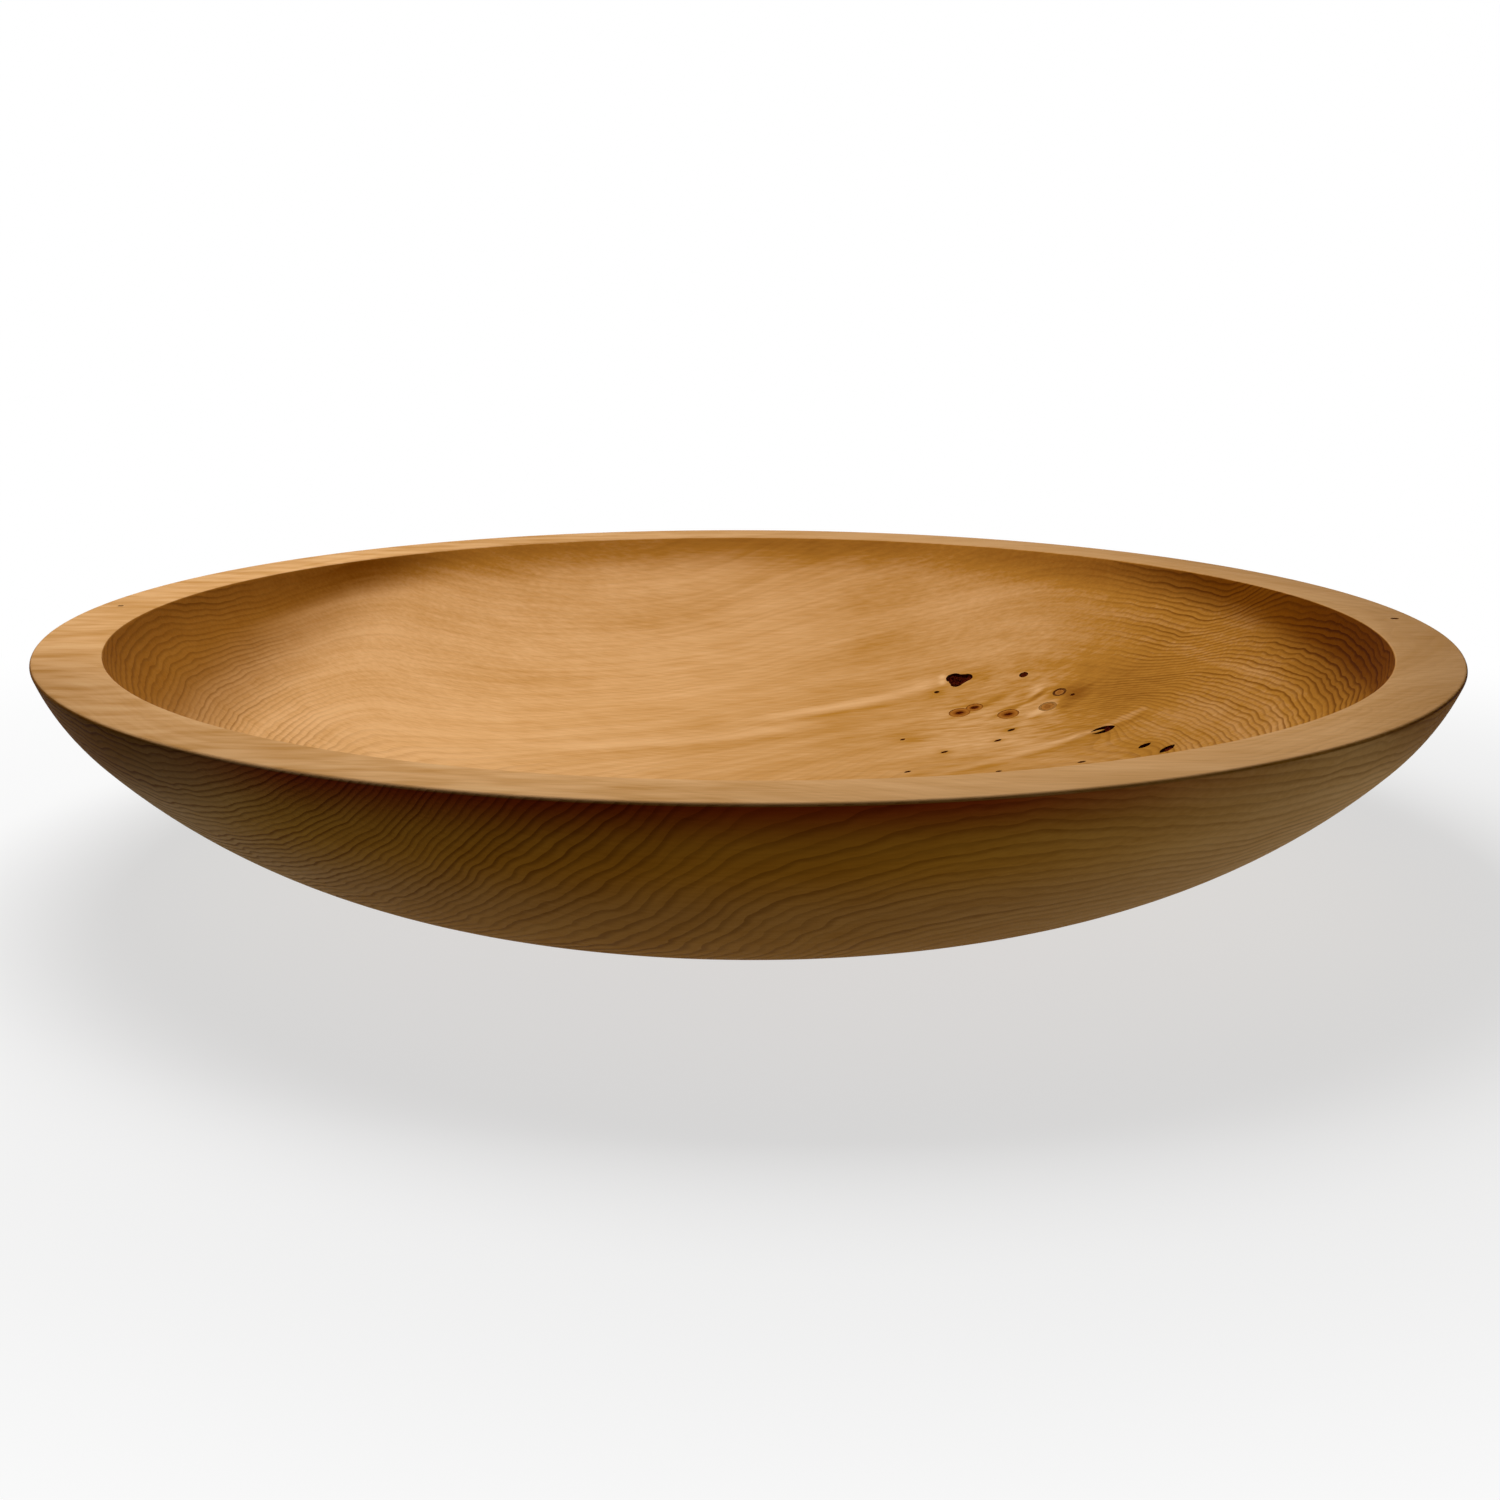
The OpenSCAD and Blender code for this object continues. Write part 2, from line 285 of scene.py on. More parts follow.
@dataclass
class TurnedForm:
    """Profile of the bowl: distances from its axis and heights above its foot."""

    rim_d: float = 0.420
    bowl_h: float = 0.073
    rim_w: float = 0.020
    rim_edge_r: float = 0.0009
    shoulder_r: float = 0.0615
    rim_angle: float = radians(69.5)
    shoulder_angle: float = radians(45.5)
    foot_d: float = 0.164
    foot_h: float = 0.0018
    foot_edge_r: float = 0.0004
    foot_ring_w: float = 0.016
    recess_h: float = 0.003
    floor_t: float = 0.010
    floor_r: float = 0.635
    lip_r: float = 0.032
    lip_angle: float = radians(74)
    flank_angle: float = radians(46)
    recess_steps: int = 14
    foot_edge_steps: int = 3
    wall_steps: int = 30
    shoulder_steps: int = 12
    rim_edge_steps: int = 6
    lip_steps: int = 8
    flank_steps: int = 26
    floor_steps: int = 28
    drop_rounds: int = 6

    def __post_init__(self) -> None:
        """Works out the arcs, each of which runs into the next without a kink."""
        rim_r, foot_r = self.rim_d / 2, self.foot_d / 2
        self.mouth_r = rim_r - self.rim_w
        rim_top = Vector((rim_r, self.bowl_h))
        self.shoulder = self.arc_through(rim_top, self.shoulder_r, self.rim_angle)
        wall_top = self.shoulder.at(self.shoulder_angle)
        run = wall_top - Vector((foot_r, self.foot_h))
        slope = Vector((sin(self.shoulder_angle), -cos(self.shoulder_angle)))
        self.wall = self.arc_through(wall_top, run.dot(run) / (2 * run.dot(slope)), self.shoulder_angle)
        mouth = Vector((self.mouth_r, self.bowl_h))
        self.lip = self.arc_through(mouth, self.lip_r, self.lip_angle)
        flank_top = self.lip.at(self.flank_angle)
        self.floor = Arc(Vector((0, self.recess_h + self.floor_t + self.floor_r)), self.floor_r)
        run = flank_top - self.floor.middle
        slope = Vector((sin(self.flank_angle), -cos(self.flank_angle)))
        flank_r = (self.floor_r**2 - run.dot(run)) / (2 * (self.floor_r - run.dot(slope)))
        self.flank = self.arc_through(flank_top, flank_r, self.flank_angle)
        self.flank_top_r = flank_top.x
        self.floor_edge_r = self.flank.middle.x * self.floor_r / (self.floor_r - flank_r)

    @staticmethod
    def arc_through(point: Vector, radius: float, lean: float) -> Arc:
        """Arc of a radius that passes a point with a lean."""
        return Arc(point - radius * Vector((sin(lean), -cos(lean))), radius)

    def hollow_arc(self, distance: float) -> Arc:
        """Arc of the hollow at a distance from the axis.

        Args:
            distance: distance from the axis, in metres.

        Returns:
            The arc.
        """
        if distance > self.flank_top_r:
            return self.lip
        return self.flank if distance > self.floor_edge_r else self.floor

    def hollow_z(self, distance: float) -> float:
        """Height of the hollow at a distance from the axis."""
        arc = self.hollow_arc(distance)
        return arc.middle.y - sqrt(arc.radius**2 - (distance - arc.middle.x) ** 2)

    def on_hollow(self, x: float, y: float, turn: float = 0.0) -> Matrix:
        """Seat on the hollow, square to it, turned from the grain by an angle.

        Args:
            x: place along the grain, in metres.
            y: place across it, in metres.
            turn: angle from the grain, in radians.

        Returns:
            The seat's frame.
        """
        distance, azimuth = hypot(x, y), atan2(y, x)
        lean = self.hollow_arc(distance).lean_at(distance)
        return (Matrix.Translation((x, y, self.hollow_z(distance)))
                @ Matrix.Rotation(azimuth, 4, "Z") @ Matrix.Rotation(-lean, 4, "Y")
                @ Matrix.Rotation(turn - azimuth, 4, "Z"))

    def drop_to_hollow(self, seat: Matrix, u: float, v: float) -> float:
        """Height over a seat's plane at which the hollow lies above a point of that plane.

        Args:
            seat: frame on the hollow.
            u: place along the seat's first axis, in metres.
            v: place along its second axis, in metres.

        Returns:
            The height, in metres.
        """
        height = 0.0
        for _ in range(self.drop_rounds):
            point = seat @ Vector((u, v, height))
            height -= (point.z - self.hollow_z(hypot(point.x, point.y))) * seat[2][2]
        return height

    def rim_edge(self, arc: Arc, side: int) -> tuple[Arc, float]:
        """Small arc that rounds the rim inside (-1) or outside (1) an arc, and its lean where they meet.

        Args:
            arc: wall or lip that runs up to the rim.
            side: -1 inside the arc, 1 outside.

        Returns:
            The small arc, and its lean where it meets the large one.
        """
        radius, level = arc.radius + side * self.rim_edge_r, self.bowl_h - self.rim_edge_r
        reach = sqrt(radius**2 - (level - arc.middle.y) ** 2)
        return Arc(Vector((arc.middle.x + reach, level)), self.rim_edge_r), asin(reach / radius)

    def profile(self) -> list[Vector]:
        """Points of the half outline, from the axis under the foot round to the axis above.

        Returns:
            The points, each a distance from the axis and a height.
        """
        foot_r, recess_r = self.foot_d / 2, self.foot_d / 2 - self.foot_ring_w
        recess_arc_r = (recess_r**2 + self.recess_h**2) / (2 * self.recess_h)
        recess = Arc(Vector((0, self.recess_h - recess_arc_r)), recess_arc_r)
        foot_edge = Arc(Vector((foot_r - self.foot_edge_r, self.foot_edge_r)), self.foot_edge_r)
        outer, outer_lean = self.rim_edge(self.shoulder, -1)
        inner, inner_lean = self.rim_edge(self.lip, 1)
        floor_lean = self.floor.lean_at(self.floor_edge_r)
        return [
            *recess.points(pi, pi - asin(recess_r / recess_arc_r), self.recess_steps),
            *foot_edge.points(0, pi / 2, self.foot_edge_steps),
            *self.wall.points(self.wall.lean_at(foot_r), self.shoulder_angle, self.wall_steps)[:-1],
            *self.shoulder.points(self.shoulder_angle, outer_lean, self.shoulder_steps)[:-1],
            *outer.points(outer_lean, pi, self.rim_edge_steps),
            *inner.points(pi, pi + inner_lean, self.rim_edge_steps)[:-1],
            *self.lip.points(inner_lean, self.flank_angle, self.lip_steps)[:-1],
            *self.flank.points(self.flank_angle, floor_lean, self.flank_steps)[:-1],
            *self.floor.points(floor_lean, 0, self.floor_steps),
        ]


FORM = TurnedForm()


# Mesh tools


def in_scene(name: str, data: bpy.types.ID) -> Thing:
    """Object that shows a mesh, a light or a camera, linked to the scene.

    Args:
        name: name of the object.
        data: what it shows.

    Returns:
        The object.
    """
    thing = bpy.data.objects.new(name, data)
    bpy.context.scene.collection.objects.link(thing)
    return thing


def as_object(bm: BMesh, name: str) -> Thing:
    """Makes an object of a bmesh and frees it.

    Args:
        bm: the finished bmesh.
        name: name of the object and of its mesh.

    Returns:
        The object, linked to the scene.
    """
    mesh = bpy.data.meshes.new(name)
    bm.to_mesh(mesh)
    bm.free()
    return in_scene(name, mesh)


def discard(thing: Thing) -> None:
    """Removes an object and its mesh.

    Args:
        thing: object that isn't needed any more.
    """
    mesh = thing.data
    bpy.data.objects.remove(thing)
    bpy.data.meshes.remove(mesh)


def carve(target: Thing, tool: Thing, operation: str) -> None:
    """Applies a boolean to a target and deletes the tool.

    Args:
        target: the object whose mesh is changed.
        tool: the object that cuts it.
        operation: DIFFERENCE, INTERSECT or UNION.
    """
    cut = target.modifiers.new("carve", "BOOLEAN")
    cut.operation = operation
    cut.solver = "MANIFOLD"
    cut.object = tool
    graph = bpy.context.evaluated_depsgraph_get()
    carved = bpy.data.meshes.new_from_object(target.evaluated_get(graph))
    old = target.data
    target.modifiers.clear()
    target.data = carved
    bpy.data.meshes.remove(old)
    discard(tool)


def smooth_by_angle(bm: BMesh) -> None:
    """Shades faces smooth and keeps the edges where they meet at a steep angle sharp.

    Args:
        bm: mesh to shade.
    """
    for face in bm.faces:
        face.smooth = True
    for edge in bm.edges:
        edge.smooth = len(edge.link_faces) == 2 and edge.calc_face_angle() < SMOOTH_BELOW


def raise_faces(bm: BMesh, faces: list[BMFace]) -> list[BMVert]:
    """Extrudes faces, which stay as the lower end, and gives the new points."""
    raised = bmesh.ops.extrude_face_region(bm, geom=faces, use_keep_orig=True)
    return [part for part in raised["geom"] if isinstance(part, BMVert)]


def prism(bm: BMesh, loop: Iterable[tuple[float, float]], seat: Matrix,
          low: float, high: float) -> None:
    """Adds a closed prism that stands on a seat.

    Args:
        bm: bmesh that takes the prism.
        loop: outline in the seat's plane, counter-clockwise.
        seat: place of the plane.
        low: height of its lower end over the plane.
        high: height of its upper end.
    """
    base = bm.faces.new([bm.verts.new(seat @ Vector((u, v, low))) for u, v in loop])
    up = seat.to_3x3() @ Vector((0, 0, high - low))
    bmesh.ops.translate(bm, vec=up, verts=raise_faces(bm, [base]))
    bmesh.ops.recalc_face_normals(bm, faces=bm.faces)


# Outlines of the knots, each with the shape of its pocket when it is grown


Loop = list[tuple[float, float]]
Place = tuple[float, float, float]


@dataclass(frozen=True)
class Disc:
    """Round outline about a point of the seat."""

    radius: float
    u: float = 0.0
    v: float = 0.0
    steps: int = 48

    def loop(self, grow: float) -> Loop:
        """Outline, grown by a width.

        Args:
            grow: width that is added all the way round, in metres.

        Returns:
            The outline's points, one after another.
        """
        turns = [2 * pi * i / self.steps for i in range(self.steps)]
        reach = self.radius + grow
        return [(self.u + reach * cos(t), self.v + reach * sin(t)) for t in turns]


@dataclass(frozen=True)
class Almond:
    """Lens shape of two equal arcs."""

    long: float
    wide: float
    u: float = 0.0
    steps: int = 16

    def loop(self, grow: float) -> Loop:
        """Outline, grown by a width.

        Args:
            grow: width that is added all the way round, in metres.

        Returns:
            The outline's points, one after another.
        """
        long, wide = self.long + 2 * grow, self.wide + 2 * grow
        radius = (long**2 + wide**2) / (4 * wide)
        half = asin(long / 2 / radius)
        leans = [half - 2 * half * i / self.steps for i in range(self.steps)]
        upper = [(radius * sin(a), radius * cos(a) - radius + wide / 2) for a in leans]
        return [(self.u + u, v) for u, v in upper] + [(self.u - u, -v) for u, v in upper]


@dataclass(frozen=True)
class Web:
    """Band between two discs, a little narrower than they are."""

    first: Disc
    second: Disc
    share: float = 0.9

    def loop(self, grow: float) -> Loop:
        """Outline, grown by a width.

        Args:
            grow: width that is added all the way round, in metres.

        Returns:
            The outline's points, one after another.
        """
        a, b = Vector((self.first.u, self.first.v)), Vector((self.second.u, self.second.v))
        run = (b - a).normalized()
        side = Vector((-run.y, run.x))
        a_side = side * (self.first.radius * self.share + grow)
        b_side = side * (self.second.radius * self.share + grow)
        return [tuple(p) for p in (a - a_side, b - b_side, b + b_side, a + a_side)]


Outline = list[Disc | Almond | Web]


@dataclass
class Knot:
    """One knot: its seat, its outline, how deep it goes and how its face is worn."""

    seat: Matrix
    outline: Outline
    depth: float
    notch: Almond | None = None
    drop: float = 0.0
    crumble: float = 0.0
    crumb: float = 0.0011
    cell: float = 0.00022
    least_cells: int = 8
    margin: float = 1.1
    wear_level: float = 0.35
    wear_noise: tuple[float, float, int] = (0.8, 2.1, 4)
    on_rim: bool = False

    def cutter(self, gap: float, above: float = 0.004) -> Thing:
        """Solid that cuts the knot's pocket, or the knot itself where the gap is zero.

        Args:
            gap: width by which the pocket is wider and deeper than the knot.
            above: how far it stands over the surface.

        Returns:
            The cutter as an object.
        """
        tool = None
        for shape in self.outline:
            bm = bmesh.new()
            prism(bm, shape.loop(gap), self.seat, -self.depth - gap, above)
            part = as_object(bm, "cutter")
            if tool:
                carve(tool, part, "UNION")
            else:
                tool = part
        if self.notch:
            bm = bmesh.new()
            prism(bm, self.notch.loop(-gap), self.seat, -self.depth - 2 * above, 2 * above)
            carve(tool, as_object(bm, "notch"), "DIFFERENCE")
        return tool

    def reach(self) -> float:
        """Distance from the seat's middle to the farthest point of the outline."""
        return max(hypot(u, v) for shape in self.outline for u, v in shape.loop(0.0))

    def face_height(self, u: float, v: float) -> float:
        """Height of the knot's face over its seat's plane; wear never lifts it over the turning.

        Args:
            u: place along the seat's first axis, in metres.
            v: place along its second axis, in metres.

        Returns:
            The height, in metres.
        """
        turned = 0.0 if self.on_rim else FORM.drop_to_hollow(self.seat, u, v)
        place = self.seat @ Vector((u, v, 0))
        wear = noise.fractal(place / self.crumb, *self.wear_noise) - self.wear_level
        return turned + min(self.crumble * wear - self.drop, 0.0)

    def solid(self) -> Thing:
        """The knot: a finely divided face over a block, cut to the outline.

        Returns:
            The knot as an object.
        """
        half = self.reach() * self.margin
        cells = max(self.least_cells, round(2 * half / self.cell))
        bm = bmesh.new()
        bmesh.ops.create_grid(bm, x_segments=cells, y_segments=cells, size=half)
        face = list(bm.verts)
        under = raise_faces(bm, bm.faces[:])
        for vert in face:
            vert.co.z = self.face_height(vert.co.x, vert.co.y)
        for vert in under:
            vert.co.z = -self.depth
        bmesh.ops.transform(bm, matrix=self.seat, verts=bm.verts)
        bmesh.ops.recalc_face_normals(bm, faces=bm.faces)
        block = as_object(bm, "knot")
        carve(block, self.cutter(0.0), "INTERSECT")
        return block

    def spread(self, point: Vector) -> float:
        """Share of the way from the knot's middle to its outline at a point."""
        local = self.seat.inverted() @ point
        return min(hypot((local.x - s.u) / r, local.y / r) for s, r in self.rounds())

    def rounds(self) -> list[tuple[Disc | Almond, float]]:
        """Shapes of the outline that have a middle, each with its half width."""
        return [(s, s.radius if isinstance(s, Disc) else s.long / 2)
                for s in self.outline if not isinstance(s, Web)]


def build_knots(name: str, knots: list[Knot], holes: list[Knot], gap: float) -> Thing:
    """Builds the knots of one node as one piece.

    Args:
        name: name of the piece.
        knots: the knots, each of which becomes a solid of its own.
        holes: knots whose pockets are cut into them.
        gap: hairline between a knot and its pocket.

    Returns:
        The piece, with each point's share of the way to its knot's outline stored.
    """
    joined = bmesh.new()
    layer = joined.verts.layers.float.new("spread")
    for knot in knots:
        solid = knot.solid()
        for hole in holes:
            carve(solid, hole.cutter(gap), "DIFFERENCE")
        known = len(joined.verts)
        joined.from_mesh(solid.data)
        joined.verts.ensure_lookup_table()
        for vert in joined.verts[known:]:
            vert[layer] = knot.spread(vert.co)
        discard(solid)
    bmesh.ops.dissolve_degenerate(joined, dist=TINY, edges=joined.edges)
    smooth_by_angle(joined)
    return as_object(joined, name)


# The knots, by node


@dataclass
class KnotCluster:
    """The knots that the hollow cuts through.

    A place is the shares of the cluster's length by which a knot lies right of and behind its
    middle, and the degrees by which it is turned. Pins have shares of their full length and
    width before the turn, and a rim pin a turn about the axis and a radius. The discs of the
    large knot have a radius and a place in shares of its width and length.
    """

    middle_x: float = 0.092
    middle_y: float = 0.075
    length: float = 0.100
    gap: float = 0.0001
    bark_depth: float = 0.006
    bark_drop: float = 0.0008
    large_w: float = 0.0094
    large_l: float = 0.0086
    large_discs: tuple[Place, ...] = ((0.30, -0.23, 0.14), (0.24, 0.26, 0.175), (0.22, -0.02, -0.30))
    large_web: float = 0.85
    large_place: Place = (-0.16, 0.44, -22)
    fork_l: float = 0.0088
    fork_w: float = 0.0052
    tongue_w: float = 0.002
    tongue_share: float = 0.85
    fork_place: Place = (0.265, -0.19, 4)
    side_l: float = 0.0062
    side_w: float = 0.0036
    side_places: tuple[tuple[Place, float], ...] = (((0.365, -0.43, 22), 0.75), ((0.42, -0.525, 30), 1))
    eye_depth: float = 0.005
    eye_r: float = 0.0037
    small_eye_r: float = 0.0029
    eye_offset: float = 0.0031
    twin_place: Place = (-0.15, 0.21, 25)
    single_place: Place = (-0.015, 0.12, 0)
    heart_l: float = 0.003
    heart_w: float = 0.0018
    heart_depth: float = 0.0035
    heart_turn: float = 8
    ringed_depth: float = 0.005
    ringed_places: tuple[tuple[Place, float], ...] = (((0.12, 0.11, 0), 0.0031), ((0.17, 0.185, 0), 0.0024))
    ring_t: float = 0.0007
    hole_extra: float = 0.001
    pin_l: float = 0.0033
    pin_w: float = 0.0030
    pin_depth: float = 0.003
    pin_places: tuple[tuple[float, ...], ...] = (
        (0.065, 0.365, 0.95, 1, -12),
        (-0.243, 0.385, 0.55, 0.5, 0),
        (-0.02, -0.025, 1, 0.5, 34),
        (-0.075, -0.11, 0.95, 0.45, 32),
        (-0.26, -0.165, 0.9, 0.45, 34),
        (-0.395, -0.335, 0.8, 0.4, 35),
        (-0.105, -0.425, 0.6, 0.4, 5),
        (-0.39, -0.005, 0.6, 0.4, 40),
        (0.21, 0.14, 0.45, 0.4, 0),
        (0.16, -0.45, 0.85, 0.45, 5),
    )
    rim_pin_share: float = 0.62
    rim_pins_at: tuple[tuple[float, float], ...] = ((4.5, 0.0012), (171.5, 0.0008))
    pip_drop: float = 0.0001
    pip_crumble: float = 0.0004
    eye_crumble: float = 0.00012
    ringed_crumble: float = 0.0001
    bark_crumbles: tuple[float, float, float] = (0.0016, 0.0012, 0.0010)

    def seat(self, x_share: float, y_share: float, turn: float = 0.0) -> Matrix:
        """Seat at a place in the cluster, in shares of its length, turned by degrees."""
        return FORM.on_hollow(self.middle_x + x_share * self.length,
                              self.middle_y + y_share * self.length, radians(turn))

    def bark(self, place: Place, outline: Outline, crumble: float, notch: Almond | None = None) -> Knot:
        """One pocket of bark."""
        return Knot(self.seat(*place), outline, self.bark_depth, notch, self.bark_drop, crumble)

    def pip(self, seat: Matrix, shape: Disc | Almond, depth: float, on_rim: bool = False) -> Knot:
        """One small dark pip with a lightly worn face."""
        return Knot(seat, [shape], depth, drop=self.pip_drop, crumble=self.pip_crumble, on_rim=on_rim)

    def large_bark(self) -> list[Knot]:
        """Heart-shaped bark knot: two lobes, joined to a tip.

        Returns:
            The one knot.
        """
        wide, long = self.large_w, self.large_l
        left, right, tip = (Disc(r * wide, u * wide, v * long) for r, u, v in self.large_discs)
        outline = [left, right, tip, Web(left, tip), Web(right, tip), Web(left, right, self.large_web)]
        return [self.bark(self.large_place, outline, self.bark_crumbles[0])]

    def forked_bark(self) -> list[Knot]:
        """Almond of bark, split from its left end by a tongue of wood.

        Returns:
            The one knot.
        """
        tongue_l = self.tongue_share * self.fork_l
        tongue = Almond(tongue_l, self.tongue_w, (tongue_l - self.fork_l) / 2 - self.tongue_w)
        return [self.bark(self.fork_place, [Almond(self.fork_l, self.fork_w)], self.bark_crumbles[1], tongue)]

    def side_bark(self) -> list[Knot]:
        """Two almonds of bark beside the forked one."""
        return [self.bark(place, [Almond(size * self.side_l, size * self.side_w)], self.bark_crumbles[2])
                for place, size in self.side_places]

    def eyes(self) -> list[Knot]:
        """The twin eye and the single eye.

        Returns:
            Both knots.
        """
        twin = [Disc(self.eye_r, -self.eye_offset), Disc(self.small_eye_r, self.eye_offset)]
        return [Knot(self.seat(*place), outline, self.eye_depth, crumble=self.eye_crumble)
                for place, outline in ((self.twin_place, twin), (self.single_place, [Disc(self.eye_r)]))]

    def hearts(self) -> list[Knot]:
        """Dark hearts of the three eyes.

        Returns:
            The three hearts.
        """
        twin = self.seat(*self.twin_place)
        level = Matrix.Rotation(radians(self.heart_turn - self.twin_place[2]), 4, "Z")
        seats = [twin @ Matrix.Translation((side * self.eye_offset, 0, 0)) @ level for side in (-1, 1)]
        seats.append(self.seat(*self.single_place[:2], self.heart_turn))
        return [self.pip(seat, Almond(self.heart_l, self.heart_w), self.heart_depth) for seat in seats]

    def ringed(self, inset: float, deeper: float = 0.0) -> list[Knot]:
        """The two ringed knots, set in from the outside of their bark and lengthened."""
        return [Knot(self.seat(*place), [Disc(radius - inset)], self.ringed_depth + deeper,
                     crumble=self.ringed_crumble) for place, radius in self.ringed_places]

    def pins(self) -> list[Knot]:
        """Pips and dashes scattered over the cluster."""
        return [self.pip(self.seat(x, y, turn), Almond(l * self.pin_l, w * self.pin_w), self.pin_depth)
                for x, y, l, w, turn in self.pin_places]

    def rim_pins(self) -> list[Knot]:
        """Two pin knots in the flat of the rim.

        Returns:
            Both knots.
        """
        middle = Matrix.Translation((FORM.mouth_r + self.rim_pin_share * FORM.rim_w, 0, FORM.bowl_h))
        return [self.pip(Matrix.Rotation(radians(turn), 4, "Z") @ middle, Disc(radius), self.pin_depth, True)
                for turn, radius in self.rim_pins_at]

    def pockets(self) -> list[Knot]:
        """Every knot that has a pocket in the bowl."""
        return [*self.large_bark(), *self.forked_bark(), *self.side_bark(), *self.eyes(),
                *self.ringed(0.0), *self.pins(), *self.rim_pins()]


CLUSTER = KnotCluster()


# Finishes


@dataclass(frozen=True)
class Swirl:
    """Place near a knot where the growth rings rise and the wood is stained, in millimetres."""

    x: float
    y: float
    reach: float
    rings: float
    stain: float = 0.0
    stain_reach: float = 5.0

    def rise(self, x: Wire, y: Wire) -> Wire:
        """Number of rings by which it rises."""
        return Spot(self.x, self.y, self.reach, self.reach).of(x, y) * self.rings

    def darkens(self, x: Wire, y: Wire) -> Wire:
        """Its stain, below zero where the wood is paler."""
        return Spot(self.x, self.y, self.stain_reach, self.stain_reach).of(x, y) * self.stain


@dataclass(frozen=True)
class Ridge:
    """Pale ridge of curly grain that runs up to a knot, in millimetres."""

    x: float
    y: float
    end_x: float
    end_y: float
    wide: float
    pale: float
    fade_in: Fade = Fade(-0.1, 0.5)
    fade_out: Fade = Fade(1.1, 0.9)
    ditch_at: float = -2.2
    ditch: float = 0.5

    def crest(self, x: Wire, y: Wire) -> Wire:
        """How pale it makes the wood, below zero in the darker ditch beside it.

        Args:
            x: place along the grain, in mm.
            y: place across it, in mm.

        Returns:
            The paleness.
        """
        run_x, run_y = self.end_x - self.x, self.end_y - self.y
        long = hypot(run_x, run_y)
        along = (x - self.x) * (run_x / long) + (y - self.y) * (run_y / long)
        across = (x - self.x) * (-run_y / long) + (y - self.y) * (run_x / long)
        strip = (Fade(self.fade_in.start * long, self.fade_in.end * long).of(along)
                 * Fade(self.fade_out.start * long, self.fade_out.end * long).of(along))
        ditch = across.bell(self.ditch_at * self.wide, self.wide) * self.ditch
        return (across.bell(0.0, self.wide) - ditch) * strip * self.pale


@dataclass(frozen=True)
class GrowthRings:
    """Ring figure of the log, in rings. Places are in millimetres from the bowl's axis and foot."""

    ring_w: float = 2.55
    pith_below: float = 73.0
    pith_y: float = 9.0
    swell_h: float = 56.0
    swell_x: float = 85.0
    swell_left: float = 85.0
    swell_right: float = 74.0
    swell_cap: float = 0.955
    cap_blend: float = 0.03
    lean: float = 0.011
    close_left: Fade = Fade(-122, -190, 19)
    close_right: Fade = Fade(108, 186, 7)
    near_front: Fade = Fade(92, 62)
    crease: Fade = Fade(6, 64, 5.0)
    slope: Fade = Fade(64, 125, 2.2)
    front_z: float = 42.0
    front_count: float = 66.0
    front_lean: float = 0.017
    front_tight: float = 0.41
    front_slack: float = 0.20
    slack_x: float = -11.0
    slack_w: float = 44.5
    fold: Fade = Fade(-147, 71, 33.4)
    close_fold: Fade = Fade(-140, -45, 12)
    close_fold_tight: Fade = Fade(-45, -140, 0.12)

    def hollow(self, x: Wire, y: Wire, z: Wire) -> Wire:
        """Number of the ring over the hollow: round a pith below the foot, with one wide swell.

        Args:
            x: place along the grain, in mm.
            y: place across it, in mm.
            z: height, in mm.

        Returns:
            The number, whole where a ring ends.
        """
        log = ((y - self.pith_y).squared() + (z + self.pith_below).squared()).root()
        left = x.bell(self.swell_x, self.swell_left) * x.math("LESS_THAN", self.swell_x)
        right = x.bell(self.swell_x, self.swell_right) * x.math("GREATER_THAN", self.swell_x)
        swell = left + right
        top = (swell - swell.math("SMOOTH_MIN", self.swell_cap, self.cap_blend)) * self.near_front.of(y)
        close = self.close_left.of(x) + self.close_right.of(x)
        return (log - (swell - top) * self.swell_h) / self.ring_w + x * self.lean + close

    def front(self, x: Wire, z: Wire) -> Wire:
        """Number of the ring over the front wall: a fold on the left, an arch right of it.

        Args:
            x: place along the grain, in mm.
            z: height, in mm.

        Returns:
            The number, whole where a ring ends.
        """
        tight = (x.bell(self.slack_x, self.slack_w) * -self.front_slack + self.front_tight
                 + self.close_fold_tight.of(x))
        fold = self.fold.of(x) + self.close_fold.of(x)
        return (z - self.front_z) * tight - fold + x * self.front_lean + self.front_count

    def creased(self, x: Wire, y: Wire) -> Wire:
        """Rings by which the wood sinks in front of the knots."""
        return (self.crease.of(x) + self.slope.of(x)) * self.near_front.of(y)


@dataclass(frozen=True)
class Where:
    """A place on the body as wires, and the zones that it may lie in, each 1 inside."""

    finish: Finish
    seed: float
    x: Wire
    y: Wire
    z: Wire
    facing: Wire
    end: Wire
    upward: Wire
    front: Wire
    rim: Wire
    right_wall: Wire
    knotty: Wire

    def grain(self, grain: Grain, vector: Socket | None = None) -> Wire:
        """Noise of the timber at full strength."""
        return self.finish.grain(grain, self.seed, vector)

    def layer(self, grain: Grain, vector: Socket | None = None) -> Wire:
        """Noise of the timber at its own strength."""
        return self.grain(grain, vector) * grain.share


